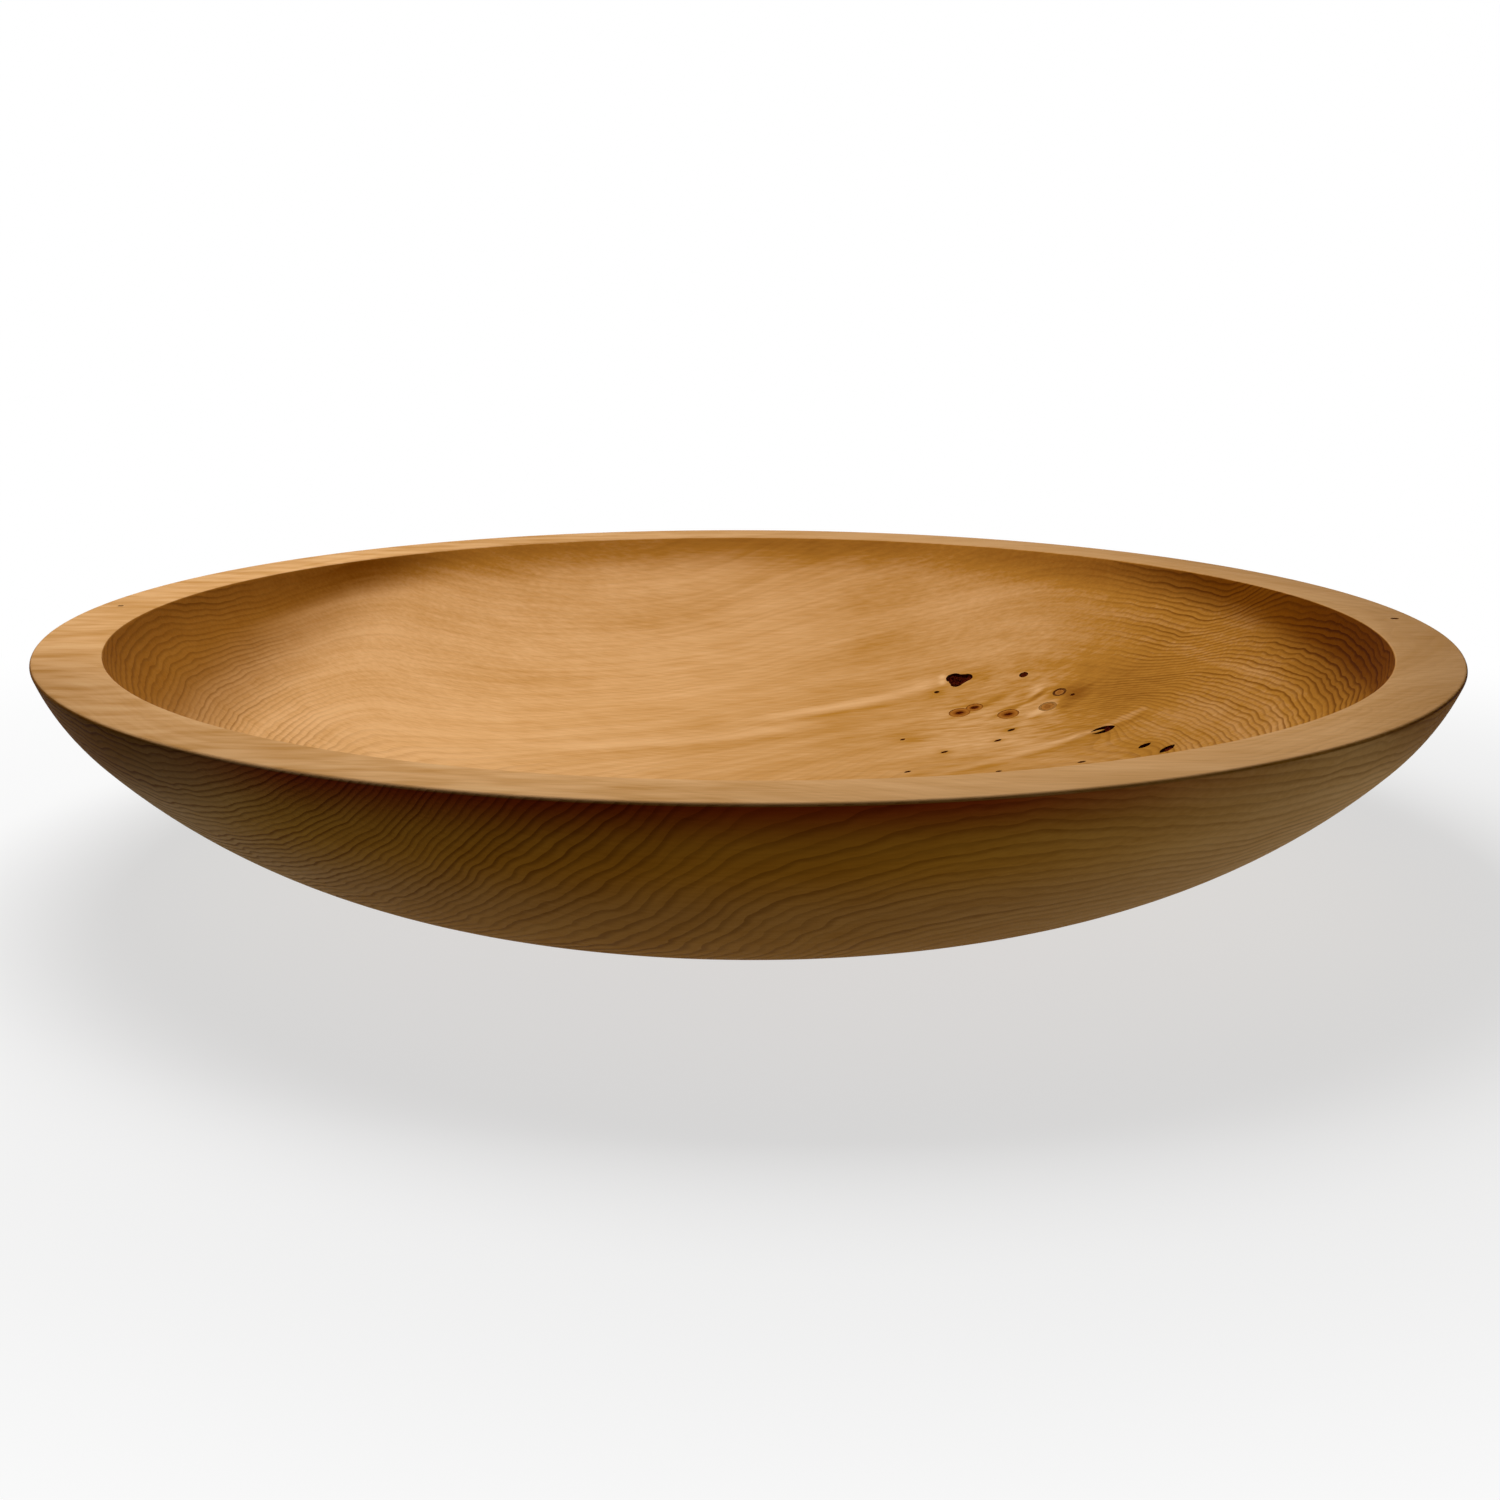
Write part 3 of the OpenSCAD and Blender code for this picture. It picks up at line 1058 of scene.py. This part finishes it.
@dataclass(frozen=True)
class Timber:
    """Oiled pale timber with its growth rings. Lengths are in millimetres.

    A Grain is one layer of the figure, and a Fade is a zone's edge or a painted shade and its strength.
    line_calm is how much less the lines show on plain wood, among the knots, where they hush and
    on the right wall.
    """

    bright: Colour = (0.86, 0.55, 0.26)
    pale: Colour = (0.74, 0.415, 0.175)
    warm: Colour = (0.47, 0.205, 0.028)
    deep: Colour = (0.28, 0.100, 0.010)
    # painted shade on the walls of the recessed knot pockets
    pit_shade: Colour = (0.060, 0.010, 0.003)
    # painted shade on the front of the outer wall: darker and redder just under the rim, deeper on its upper
    # half
    under_rim_shade: Colour = (0.55, 0.16, 0.20)
    high_wall_shade: Colour = (1.0, 0.88, 0.30)
    line: Colour = (0.44, 0.34, 0.20)
    # end: darker end grain where the walls face the ends, with painted shade on these steep walls
    end: Colour = (0.42, 0.30, 0.09)
    # old: darker tint of the rim towards its ends, its front left and its back
    old: Colour = (0.52, 0.49, 0.44)
    seed: float = 3.7
    roughness: float = 0.65
    shine: float = 0.01
    fibre_rough: float = 0.03
    fibre_depth: float = 0.00001

    facing_up: Fade = Fade(-0.2, 0.2)
    front_y: Fade = Fade(-50, -105)
    rim_z: Fade = Fade(72.5, 72.95)
    right_wall_x: Fade = Fade(40, 120)
    knotty: Spot = Spot(92, 80, 28, 30)
    hush: Spot = Spot(120, 40, 22, 26)
    plain_y: Fade = Fade(-10, 60)
    plain_left: Fade = Fade(-168, -118)
    plain_left_slant: Fade = Fade(40, 110, 42)
    plain_right: Fade = Fade(124, 92)
    plain_right_slant: Fade = Fade(75, 105, 30)

    rings: GrowthRings = GrowthRings()
    drift: Grain = Grain((60, 60, 60), 0, 1.0, 0.9)
    ripple: Grain = Grain((11, 11, 13), 5, 1.5, 0.12)
    ripple_ends: Fade = Fade(40, 150, 0.18)
    ripple_right: Fade = Fade(110, 160, 0.12)
    ripple_front: float = 0.2
    ripple_calm: float = 0.6
    late_from: Fade = Fade(0.35, 0.86)
    late_to: Fade = Fade(1.0, 0.93)
    year: Grain = Grain((1.3, 1, 1), 9, 0.0, 0.35)
    year_length: float = 70.0
    year_least: float = 0.85
    flow_length: float = 30.0
    flow_width: float = 60.0

    broad: Grain = Grain((3.6, 3.4, 2.5), 13, 3.0, 0.19)
    streak: Grain = Grain((0.8, 1.6, 1.0), 15, 2.0, 0.13)
    mottle: Grain = Grain((16, 7, 9), 17, 2.0, 0.09)
    fibre: Grain = Grain((12, 0.9, 0.9), 11, 2.0, 0.16)
    cloud: Grain = Grain((90, 60, 60), 23, 1.0, 0.12)
    curl: Grain = Grain((8, 2.0, 4), 31, 2.5, 0.45)
    patch: Grain = Grain((24, 7, 7), 27, 2.0, 0.5)
    patch_x: Fade = Fade(60, -60)
    stain_share: float = 0.6
    tone_least: float = 0.20
    # painted shade in the hollow: the steep back wall under the rim and the right side
    steep_shade: Fade = Fade(0.80, 0.30)
    back_y: Fade = Fade(60, 140)
    back_shade: float = 0.85
    right_shade: Fade = Fade(-60, 70, 0.36)
    far_right_shade: Fade = Fade(85, 130, 0.30)
    right_end_shade: Fade = Fade(167, 192, 1.1)

    line_least: float = 0.36
    line_end: Fade = Fade(0.0, 0.7, 0.12)
    line_right: Fade = Fade(92, 130, 0.36)
    line_front: float = 0.15
    line_wall_x: Fade = Fade(0, -60)
    line_wall: float = 0.30
    line_calm: tuple[float, ...] = (0.80, 0.4, 0.55, 0.5)
    line_calm_rim: float = 0.88

    rim_dark_left: Fade = Fade(-130, -200, 0.32)
    rim_dark_front_x: Fade = Fade(-40, -150)
    rim_dark_front_y: Fade = Fade(-20, -100)
    rim_dark_front: float = 0.42
    rim_dark_right: Fade = Fade(130, 200, 0.42)
    rim_dark_back: Fade = Fade(60, 190, 0.42)
    middle_left: Fade = Fade(-150, -100)
    middle_right: Fade = Fade(140, 40)
    high_wall_shade_z: Fade = Fade(36, 56)
    under_rim_shade_z: Fade = Fade(60, 73)
    steep: Fade = Fade(0.47, 0.70)
    steep_right: Fade = Fade(-20, 20, 0.12)
    knots_x: Fade = Fade(38, 48)
    knots_y: Fade = Fade(8, 16)
    knots_r: Fade = Fade(156, 150)
    pit_level: Fade = Fade(0.62, 0.45)
    pit_below: Fade = Fade(-0.7, -0.5)

    swirls: tuple[Swirl, ...] = (
        Swirl(75.5, 119.5, 8, 3.2, 0.30, 7),
        Swirl(83, 117, 6, 0.0, 0.55, 3.5),
        Swirl(70.2, 119.5, 6, 0.0, -1.8, 0.9),
        Swirl(70.4, 123.0, 6, 0.0, -1.5, 0.9),
        Swirl(118, 56, 7.5, 3.0, 0.25, 5),
        Swirl(77, 96, 7, 2.4, 0.45, 5.5),
        Swirl(90.5, 87, 6, 2.0, 0.70, 4),
        Swirl(109, 93, 5, 2.0, 0.60, 4),
        Swirl(104, 86, 5, 1.6, -1.1, 3.8),
        Swirl(103.5, 100.5, 3, 0.8, -0.8, 2.4),
        Swirl(114, 89, 7, 0.0, 1.50, 3.2),
        Swirl(109, 83, 7, 0.0, 0.90, 2.6),
        Swirl(98.5, 111.5, 4.5, 1.2, 0.25, 3.5),
        Swirl(68, 113, 3, 0.6, 0.60, 2.5),
        Swirl(89.8, 72.6, 6, 0.0, 0.90, 1.9),
        Swirl(84.6, 64.1, 6, 0.0, 0.90, 1.9),
        Swirl(65.9, 58.5, 6, 0.0, 0.90, 1.9),
        Swirl(55, 76, 9, 1.6, 0.65, 5),
        Swirl(50, 150, 9, 0.0, 0.35, 13),
        Swirl(36, 82, 9, 0.0, 0.25, 12),
        Swirl(131, 27, 8, 2.2, 0.45, 7),
        Swirl(125, 78, 8, 0.0, 0.70, 16),
    )
    ridges: tuple[Ridge, ...] = (
        Ridge(-10, 97, 72, 122, 2.6, 1.0),
        Ridge(84, 50, 132, 61, 1.8, 0.9),
        Ridge(-90, 56, 20, 92, 3.0, 0.6),
        Ridge(52, 33, 104, 53, 1.6, 0.7),
        Ridge(64, 88, 92, 102, 1.3, -0.9),
        Ridge(80, 83, 104, 97, 1.0, -1.2),
        Ridge(92, 88, 103, 100, 1.1, 0.9),
        Ridge(94, 80, 108, 88, 1.2, 1.0),
    )

    def where(self, finish: Finish) -> Where:
        """Works out the zones in which a place of the body lies.

        Args:
            finish: material that is being wired up.

        Returns:
            The zones.
        """
        x, y, z = finish.parts(finish.place)
        nx, _, nz = finish.parts(finish.normal)
        upward = self.facing_up.of(nz)
        return Where(finish, self.seed, x, y, z, nz, nx.math("ABSOLUTE"), upward, self.front_y.of(y),
                     self.rim_z.of(z) * upward, (1.0 - upward) * self.right_wall_x.of(x),
                     self.knotty.of(x, y) * upward)

    def knot_work(self, at: Where) -> tuple[Wire, Wire]:
        """Rise of the rings round the knots, and the stain, which is below zero on a pale ridge.

        Args:
            at: zones in which the place lies.

        Returns:
            The rise and the stain.
        """
        rise = sum((s.rise(at.x, at.y) for s in self.swirls if s.rings), self.rings.creased(at.x, at.y))
        stain = sum((s.darkens(at.x, at.y) for s in self.swirls), at.x * 0.0)
        for ridge in self.ridges:
            stain = stain - ridge.crest(at.x, at.y)
        return rise, stain

    def smooth_rings(self, at: Where) -> Wire:
        """Number of the ring before it wanders, over the hollow, the rim and the walls."""
        back = self.rings.hollow(at.x, at.y, at.z)
        return back + (self.rings.front(at.x, at.z) - back) * at.front * (1.0 - at.rim)

    def ripples(self, at: Where) -> Wire:
        """Small waves of the rings, stronger towards the ends and on the front.

        Args:
            at: zones in which the place lies.

        Returns:
            The waves, in rings.
        """
        strength = (self.ripple_ends.of(at.x.math("ABSOLUTE")) + self.ripple_right.of(at.x)
                    + self.ripple.share + at.front * self.ripple_front)
        return at.grain(self.ripple) * strength * (1.0 - at.right_wall * self.ripple_calm)

    def lines(self, at: Where, rings: Wire) -> Wire:
        """Darkness of the late wood that ends each ring.

        Args:
            at: zones in which the place lies.
            rings: number of the ring.

        Returns:
            The darkness.
        """
        phase = rings.math("FRACT")
        late = self.late_from.of(phase) * self.late_to.of(phase)
        year = at.finish.vector(rings.math("FLOOR"), at.x / self.year_length, at.y / self.year_length)
        hush = self.hush.of(at.x, at.y) * at.upward
        plain = (self.plain_y.of(at.y) * self.plain_left.of(at.x + self.plain_left_slant.of(at.y))
                 * self.plain_right.of(at.x - self.plain_right_slant.of(at.y)) * at.upward)
        strength = (self.line_end.of(at.end) + self.line_right.of(at.x) + at.front * self.line_front
                    + self.line_least + (1.0 - at.upward) * self.line_wall_x.of(at.x) * self.line_wall)
        for zone, share in zip((plain, at.knotty, hush, at.right_wall), self.line_calm):
            strength = strength * (1.0 - zone * share)
        own = at.layer(self.year, year) + self.year_least
        return late * (strength * own * (1.0 - at.rim * self.line_calm_rim))

    def tone(self, at: Where, flow: Socket, fibre: Wire, stain: Wire) -> Wire:
        """How dark the wood is between its lines, painted shade included: bright at -1, pale at 0, warm at 1,
        deep at 2.

        Args:
            at: zones in which the place lies.
            flow: place, drawn out along the rings.
            fibre: fine streaks.
            stain: stain round the knots.

        Returns:
            The tone.
        """
        curl = at.grain(self.curl) * at.knotty * self.curl.share
        patch = at.grain(self.patch) * at.rim * self.patch_x.of(at.x) * self.patch.share
        # painted shade: darker on the steep back wall under the rim and towards the right of the hollow
        shade = (self.steep_shade.of(at.facing) * self.back_y.of(at.y) * self.back_shade
                 + self.right_shade.of(at.x) + self.far_right_shade.of(at.x)
                 + self.right_end_shade.of(at.x)) * at.upward * (1.0 - at.rim)
        return (at.layer(self.broad, flow) + at.layer(self.streak, flow) + at.layer(self.mottle)
                + fibre * self.fibre.share + at.layer(self.cloud) + curl + patch + shade
                + stain * at.upward * self.stain_share + self.tone_least)

    def darkened_and_shaded(self, at: Where, colour: Socket) -> Socket:
        """Colour of the wood, darker on the rim's ends and back and on end grain, with painted shade on the
        walls.

        Args:
            at: zones in which the place lies.
            colour: colour of the new wood.

        Returns:
            The darkened colour.
        """
        # darker on the rim towards its ends, its front left and its back
        old = at.rim * (self.rim_dark_left.of(at.x)
                        + self.rim_dark_front_x.of(at.x) * self.rim_dark_front_y.of(at.y) * self.rim_dark_front
                        + self.rim_dark_right.of(at.x) + self.rim_dark_back.of(at.y))
        # painted shade on the middle of the outer wall: deeper colour on its upper half and darker just under
        # the rim
        middle = self.middle_left.of(at.x) * self.middle_right.of(at.x) * (1.0 - at.upward)
        # darker end grain, and painted shade, on the steep walls towards the ends; on the right it starts
        # further out
        steep = self.steep.of(at.end - self.steep_right.of(at.x))
        for share, tint in ((old, self.old), (self.high_wall_shade_z.of(at.z) * middle, self.high_wall_shade),
                            (self.under_rim_shade_z.of(at.z) * middle, self.under_rim_shade), (steep, self.end)):
            colour = at.finish.mix(share, colour, tint, "MULTIPLY")
        return colour

    def painted_pit_shade(self, at: Where) -> Wire:
        """1 on the walls of the pockets that hold the knots, which take painted shade.

        Args:
            at: zones in which the place lies.

        Returns:
            The share.
        """
        far = (at.x.squared() + at.y.squared()).root()
        among = self.knots_x.of(at.x) * self.knots_y.of(at.y) * self.knots_r.of(far)
        return self.pit_level.of(at.facing) * self.pit_below.of(at.facing) * among

    def build(self) -> Material:
        """Wires up the timber.

        Returns:
            The material.
        """
        finish = Finish("pale_timber")
        at = self.where(finish)
        smooth = self.smooth_rings(at)
        rise, stain = self.knot_work(at)
        drift = at.layer(self.drift)
        rings = smooth + drift + self.ripples(at) - rise * at.upward
        flow = finish.vector(smooth + drift, at.x / self.flow_length, at.y / self.flow_width)
        fibre = at.grain(self.fibre)
        tone = self.tone(at, flow, fibre, stain)
        early = finish.mix(tone.within(), self.pale, self.warm)
        early = finish.mix((tone * -1.0).within(), early, self.bright)
        early = finish.mix((tone - 1.0).within(), early, self.deep)
        lined = finish.mix(self.lines(at, rings).within(), early, self.line, "MULTIPLY")
        # the walls of the knot pockets get painted shade
        finish.surface(finish.mix(self.painted_pit_shade(at), self.darkened_and_shaded(at, lined), self.pit_shade),
                       self.roughness + fibre * self.fibre_rough, self.shine)
        finish.relief(fibre, self.fibre_depth)
        return finish.material


@dataclass(frozen=True)
class KnotWood:
    """Wood or bark of a knot, which changes from its middle to its outline."""

    name: str
    middle: Colour
    edge: Colour
    fleck: Colour
    fleck_size: float = 0.6
    fleck_share: float = 0.35
    fleck_offset: float = 2.0
    fleck_detail: float = 3.0
    fleck_from: Fade = Fade(0.0, 1.0)
    roughness: float = 0.5
    shine: float = 0.0
    bump: float = 0.00004
    edge_from: Fade = Fade(0.25, 1.0)
    bound: float = 0.0
    bound_from: Fade = Fade(0.78, 0.98)
    ring_count: float = 9.0
    ring_wander: float = 0.8
    ring_share: float = 0.2
    worn: Colour | None = None
    worn_spot: Spot = Spot(0.0, 0.0, 4.0, 4.0)
    worn_share: float = 0.75

    def build(self) -> Material:
        """Wires up the knot's wood.

        Returns:
            The material.
        """
        finish = Finish(self.name)
        spread = Wire(finish.tree, add(finish.tree, "Attribute", attribute_name="spread").outputs["Fac"])
        speck = finish.grain(Grain((self.fleck_size,) * 3, self.fleck_offset, self.fleck_detail))
        wave = (spread * self.ring_count + speck * self.ring_wander).math("SINE")
        base = finish.mix(self.edge_from.of(spread), self.middle, self.edge)
        bounded = finish.mix(self.bound_from.of(spread) * self.bound, base, self.middle)
        ringed = finish.mix((wave * 0.5 + 0.5) * self.ring_share, bounded, self.edge)
        if self.worn:
            x, y, _ = finish.parts(finish.place)
            ringed = finish.mix((self.worn_spot.of(x, y) * self.worn_share).within(), ringed, self.worn)
        flecked = finish.mix(self.fleck_from.of(speck) * self.fleck_share, ringed, self.fleck)
        finish.surface(flecked, self.roughness, self.shine)
        finish.relief(speck, self.bump)
        return finish.material


class Slot(Enum):
    """The record's material slots, each with the finish that it takes."""

    PALE_TIMBER = Timber()
    DARK_BARK = KnotWood("dark_bark", (0.130, 0.012, 0.005), (0.110, 0.013, 0.004), (0.22, 0.055, 0.016),
                         fleck_size=0.8, fleck_share=0.4, roughness=0.45, bump=0.0002)
    EYE_WOOD = KnotWood("eye_wood", (0.20, 0.045, 0.003), (0.45, 0.170, 0.024), (0.30, 0.095, 0.010),
                        fleck_size=0.7, fleck_share=0.6, bound=0.8)
    HEART_WOOD = KnotWood("heart_wood", (0.060, 0.004, 0.001), (0.100, 0.014, 0.003), (0.17, 0.040, 0.008))
    TWIG_WOOD = KnotWood("twig_wood", (0.30, 0.105, 0.016), (0.46, 0.185, 0.034), (0.14, 0.030, 0.005),
                         fleck_size=1.0, fleck_share=0.8)
    RING_BARK = KnotWood("ring_bark", (0.075, 0.011, 0.002), (0.060, 0.008, 0.001), (0.42, 0.18, 0.04),
                         fleck_size=1.6, fleck_share=0.5, worn=(0.55, 0.27, 0.07),
                         worn_spot=Spot(104.0, 86.0, 4.0, 4.0))
    PIN_BARK = KnotWood("pin_bark", (0.055, 0.005, 0.001), (0.075, 0.010, 0.002), (0.14, 0.035, 0.007))

    @cache
    def material(self) -> Material:
        """The finish's material, which every piece of the slot shares."""
        return self.value.build()

    def dress(self, piece: Thing, node: str) -> None:
        """Gives a piece its finish and its body, and hides the CAD node that it stands for.

        Args:
            piece: object of the scene.
            node: CAD node that it stands for.
        """
        piece.data.materials.clear()
        piece.data.materials.append(self.material())
        for polygon in piece.data.polygons:
            polygon.material_index = 0
        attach(piece, BODY)
        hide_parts(node)


# Sub-assemblies


@dataclass
class TurnedBody:
    """The bowl itself, with a pocket for every knot."""

    steps: int = 360
    name: str = "turned_body"

    def build(self) -> Thing:
        """Spins the profile and cuts the pockets.

        Returns:
            The body.
        """
        bm = bmesh.new()
        verts = [bm.verts.new((p.x, 0, p.y)) for p in FORM.profile()]
        edges = [bm.edges.new(pair) for pair in zip(verts, verts[1:])]
        bmesh.ops.spin(bm, geom=verts + edges, cent=(0, 0, 0), axis=(0, 0, 1), angle=2 * pi,
                       steps=self.steps, use_merge=True)
        bmesh.ops.remove_doubles(bm, verts=bm.verts, dist=MERGE_BELOW)
        bmesh.ops.recalc_face_normals(bm, faces=bm.faces)
        body = as_object(bm, self.name)
        tools = bmesh.new()
        for knot in CLUSTER.pockets():
            tool = knot.cutter(CLUSTER.gap)
            tools.from_mesh(tool.data)
            discard(tool)
        carve(body, as_object(tools, "pockets"), "DIFFERENCE")
        bm = bmesh.new()
        bm.from_mesh(body.data)
        smooth_by_angle(bm)
        bm.to_mesh(body.data)
        bm.free()
        return body


@dataclass
class KnotPieces:
    """The nine nodes of knots, each built as one piece."""

    cluster: KnotCluster = field(default_factory=lambda: CLUSTER)

    def nodes(self) -> list[tuple[str, str, Slot, list[Knot], list[Knot]]]:
        """Node, piece, slot, knots and the knots whose pockets are cut into them.

        Returns:
            One row for each node.
        """
        c = self.cluster
        return [
            ("large_bark_knot", "large_bark_heart", Slot.DARK_BARK, c.large_bark(), []),
            ("forked_bark_knot", "forked_bark", Slot.DARK_BARK, c.forked_bark(), []),
            ("side_bark_knots", "side_barks", Slot.DARK_BARK, c.side_bark(), []),
            ("eye_knots", "eyes", Slot.EYE_WOOD, c.eyes(), c.hearts()),
            ("eye_knot_hearts", "eye_hearts", Slot.HEART_WOOD, c.hearts(), []),
            ("ringed_knots", "ringed_twigs", Slot.TWIG_WOOD, c.ringed(c.ring_t + c.gap), []),
            ("ringed_knot_bark", "twig_bark", Slot.RING_BARK, c.ringed(0.0),
             c.ringed(c.ring_t, c.hole_extra)),
            ("pin_knots", "pins", Slot.PIN_BARK, c.pins(), []),
            ("rim_pin_knots", "rim_pins", Slot.PIN_BARK, c.rim_pins(), []),
        ]

    def build(self) -> None:
        """Builds and dresses every piece."""
        for node, name, slot, knots, holes in self.nodes():
            gap = 0.0 if node == "ringed_knot_bark" else self.cluster.gap
            slot.dress(build_knots(name, knots, holes, gap), node)


# Studio


@dataclass
class Studio:
    """Floor, lights, white surroundings and the camera."""

    floor_r: float = 4.0
    floor_gap: float = 0.0001
    floor_sides: int = 96
    floor_colour: Colour = (0.90, 0.90, 0.90)
    floor_roughness: float = 0.9
    # glows of the floor, no lamp: they light the bowl from below, standing in for bounce light and a sheen on
    # the outer wall
    near_glow: Colour = (0.175, 0.140, 0.052)
    left_glow: Colour = (0.300, 0.430, 0.560)
    right_glow: Colour = (0.390, 0.500, 0.600)
    far_glow: Colour = (0.055, 0.018, 0.002)
    right_far_glow: Colour = (0.370, 0.330, 0.160)
    left_side: Fade = Fade(-0.06, -0.25)
    right_side: Fade = Fade(0.02, 0.27)
    far_off: Fade = Fade(0.12, 0.50)
    white_share: float = 0.66
    white_off: Fade = Fade(0.20, 0.46)
    key_w: float = 0.45
    key_power: float = 4.0
    key_place: Vector = field(default_factory=lambda: Vector((-0.15, 0.10, 0.60)))
    ambient: float = 0.008
    camera_place: Vector = field(default_factory=lambda: Vector((0.0005, -0.6653, 0.1951)))
    camera_pitch: float = radians(13.631)
    camera_roll: float = radians(0.219)
    lens: float = 53.06

    def floor(self) -> None:
        """Pale floor with the bowl's shadow, white away from it and clear when seen from below; to other rays
        it glows and lights the bowl.
        """
        bm = bmesh.new()
        bmesh.ops.create_circle(bm, cap_ends=True, radius=self.floor_r, segments=self.floor_sides)
        bmesh.ops.translate(bm, vec=(0, 0, -self.floor_gap), verts=bm.verts)
        floor = as_object(bm, "floor")
        finish = Finish("floor")
        tree, place = finish.tree, finish.metres
        length = add(tree, "VectorMath", (place,), operation="LENGTH")
        away, across = Wire(tree, length.outputs["Value"]), finish.parts(place)[0]
        finish.surface(self.floor_colour, self.floor_roughness, 0.0)
        right = self.right_side.of(across)
        near_left = finish.mix(self.left_side.of(across), self.near_glow, self.left_glow)
        near = finish.mix(right, near_left, self.right_glow)
        far = finish.mix(right, self.far_glow, self.right_far_glow)
        glow = add(tree, "Emission", (finish.mix(self.far_off.of(away), near, far),))
        fade = self.white_off.of(away) * (1 - self.white_share) + self.white_share
        seen = self.blend(tree, fade, finish.shader, add(tree, "Emission"))
        rays = self.blend(tree, self.sight(tree), glow, seen)
        path, side = add(tree, "LightPath"), add(tree, "NewGeometry")
        from_below = Wire(tree, side.outputs["Backfacing"]) * Wire(tree, path.outputs["Is Camera Ray"])
        surface = self.blend(tree, from_below, rays, add(tree, "BsdfTransparent"))
        feed(tree, tree.nodes["Material Output"], {"Surface": surface.outputs[0]})
        floor.data.materials.append(finish.material)

    @staticmethod
    def blend(tree: Tree, share: Wire, low: Node,
              high: Node) -> Node:
        """Mixes two shaders by a share of the second one."""
        return add(tree, "MixShader", (share, low.outputs[0], high.outputs[0]))

    @staticmethod
    def sight(tree: Tree) -> Wire:
        """1 for the rays that show the background: seen, mirrored or seen through.

        Args:
            tree: node tree of a material or of the world.

        Returns:
            The share.
        """
        path = add(tree, "LightPath")
        rays = [Wire(tree, path.outputs[name])
                for name in ("Is Camera Ray", "Is Glossy Ray", "Is Transmission Ray")]
        return rays[0].math("MAXIMUM", rays[1]).math("MAXIMUM", rays[2])

    def surroundings(self) -> None:
        """White to the eye, and a low even light on the bowl."""
        world = bpy.data.worlds.new("surroundings")
        world.use_nodes = True
        tree = world.node_tree
        strength = self.sight(tree) * (1.0 - self.ambient) + self.ambient
        feed(tree, tree.nodes["Background"], {"Color": (1.0, 1.0, 1.0), "Strength": strength})
        bpy.context.scene.world = world

    def key_light(self) -> None:
        """Square soft light over the bowl, which shines straight down."""
        light = bpy.data.lights.new("key", "AREA")
        light.size = self.key_w
        light.energy = self.key_power
        in_scene("key", light).location = self.key_place

    def camera(self) -> None:
        """Camera at the height and distance from which the bowl is looked at."""
        data = bpy.data.cameras.new("camera")
        data.lens = self.lens
        camera = in_scene("camera", data)
        level = Matrix.Rotation(pi / 2 - self.camera_pitch, 4, "X")
        camera.matrix_world = (Matrix.Translation(self.camera_place) @ level
                               @ Matrix.Rotation(self.camera_roll, 4, "Z"))
        bpy.context.scene.camera = camera

    def build(self) -> None:
        """Builds the studio."""
        self.floor()
        self.surroundings()
        self.key_light()
        self.camera()
        bpy.context.scene.view_settings.view_transform = "Standard"
        LOG.info("studio: floor, key light and camera")


def main() -> None:
    """Builds the studio, the body and the knots."""
    logging.basicConfig(level=logging.INFO, format="%(name)s: %(message)s")
    Studio().build()
    Slot.PALE_TIMBER.dress(TurnedBody().build(), "bowl")
    KnotPieces().build()


if __name__ == "__main__":
    main()
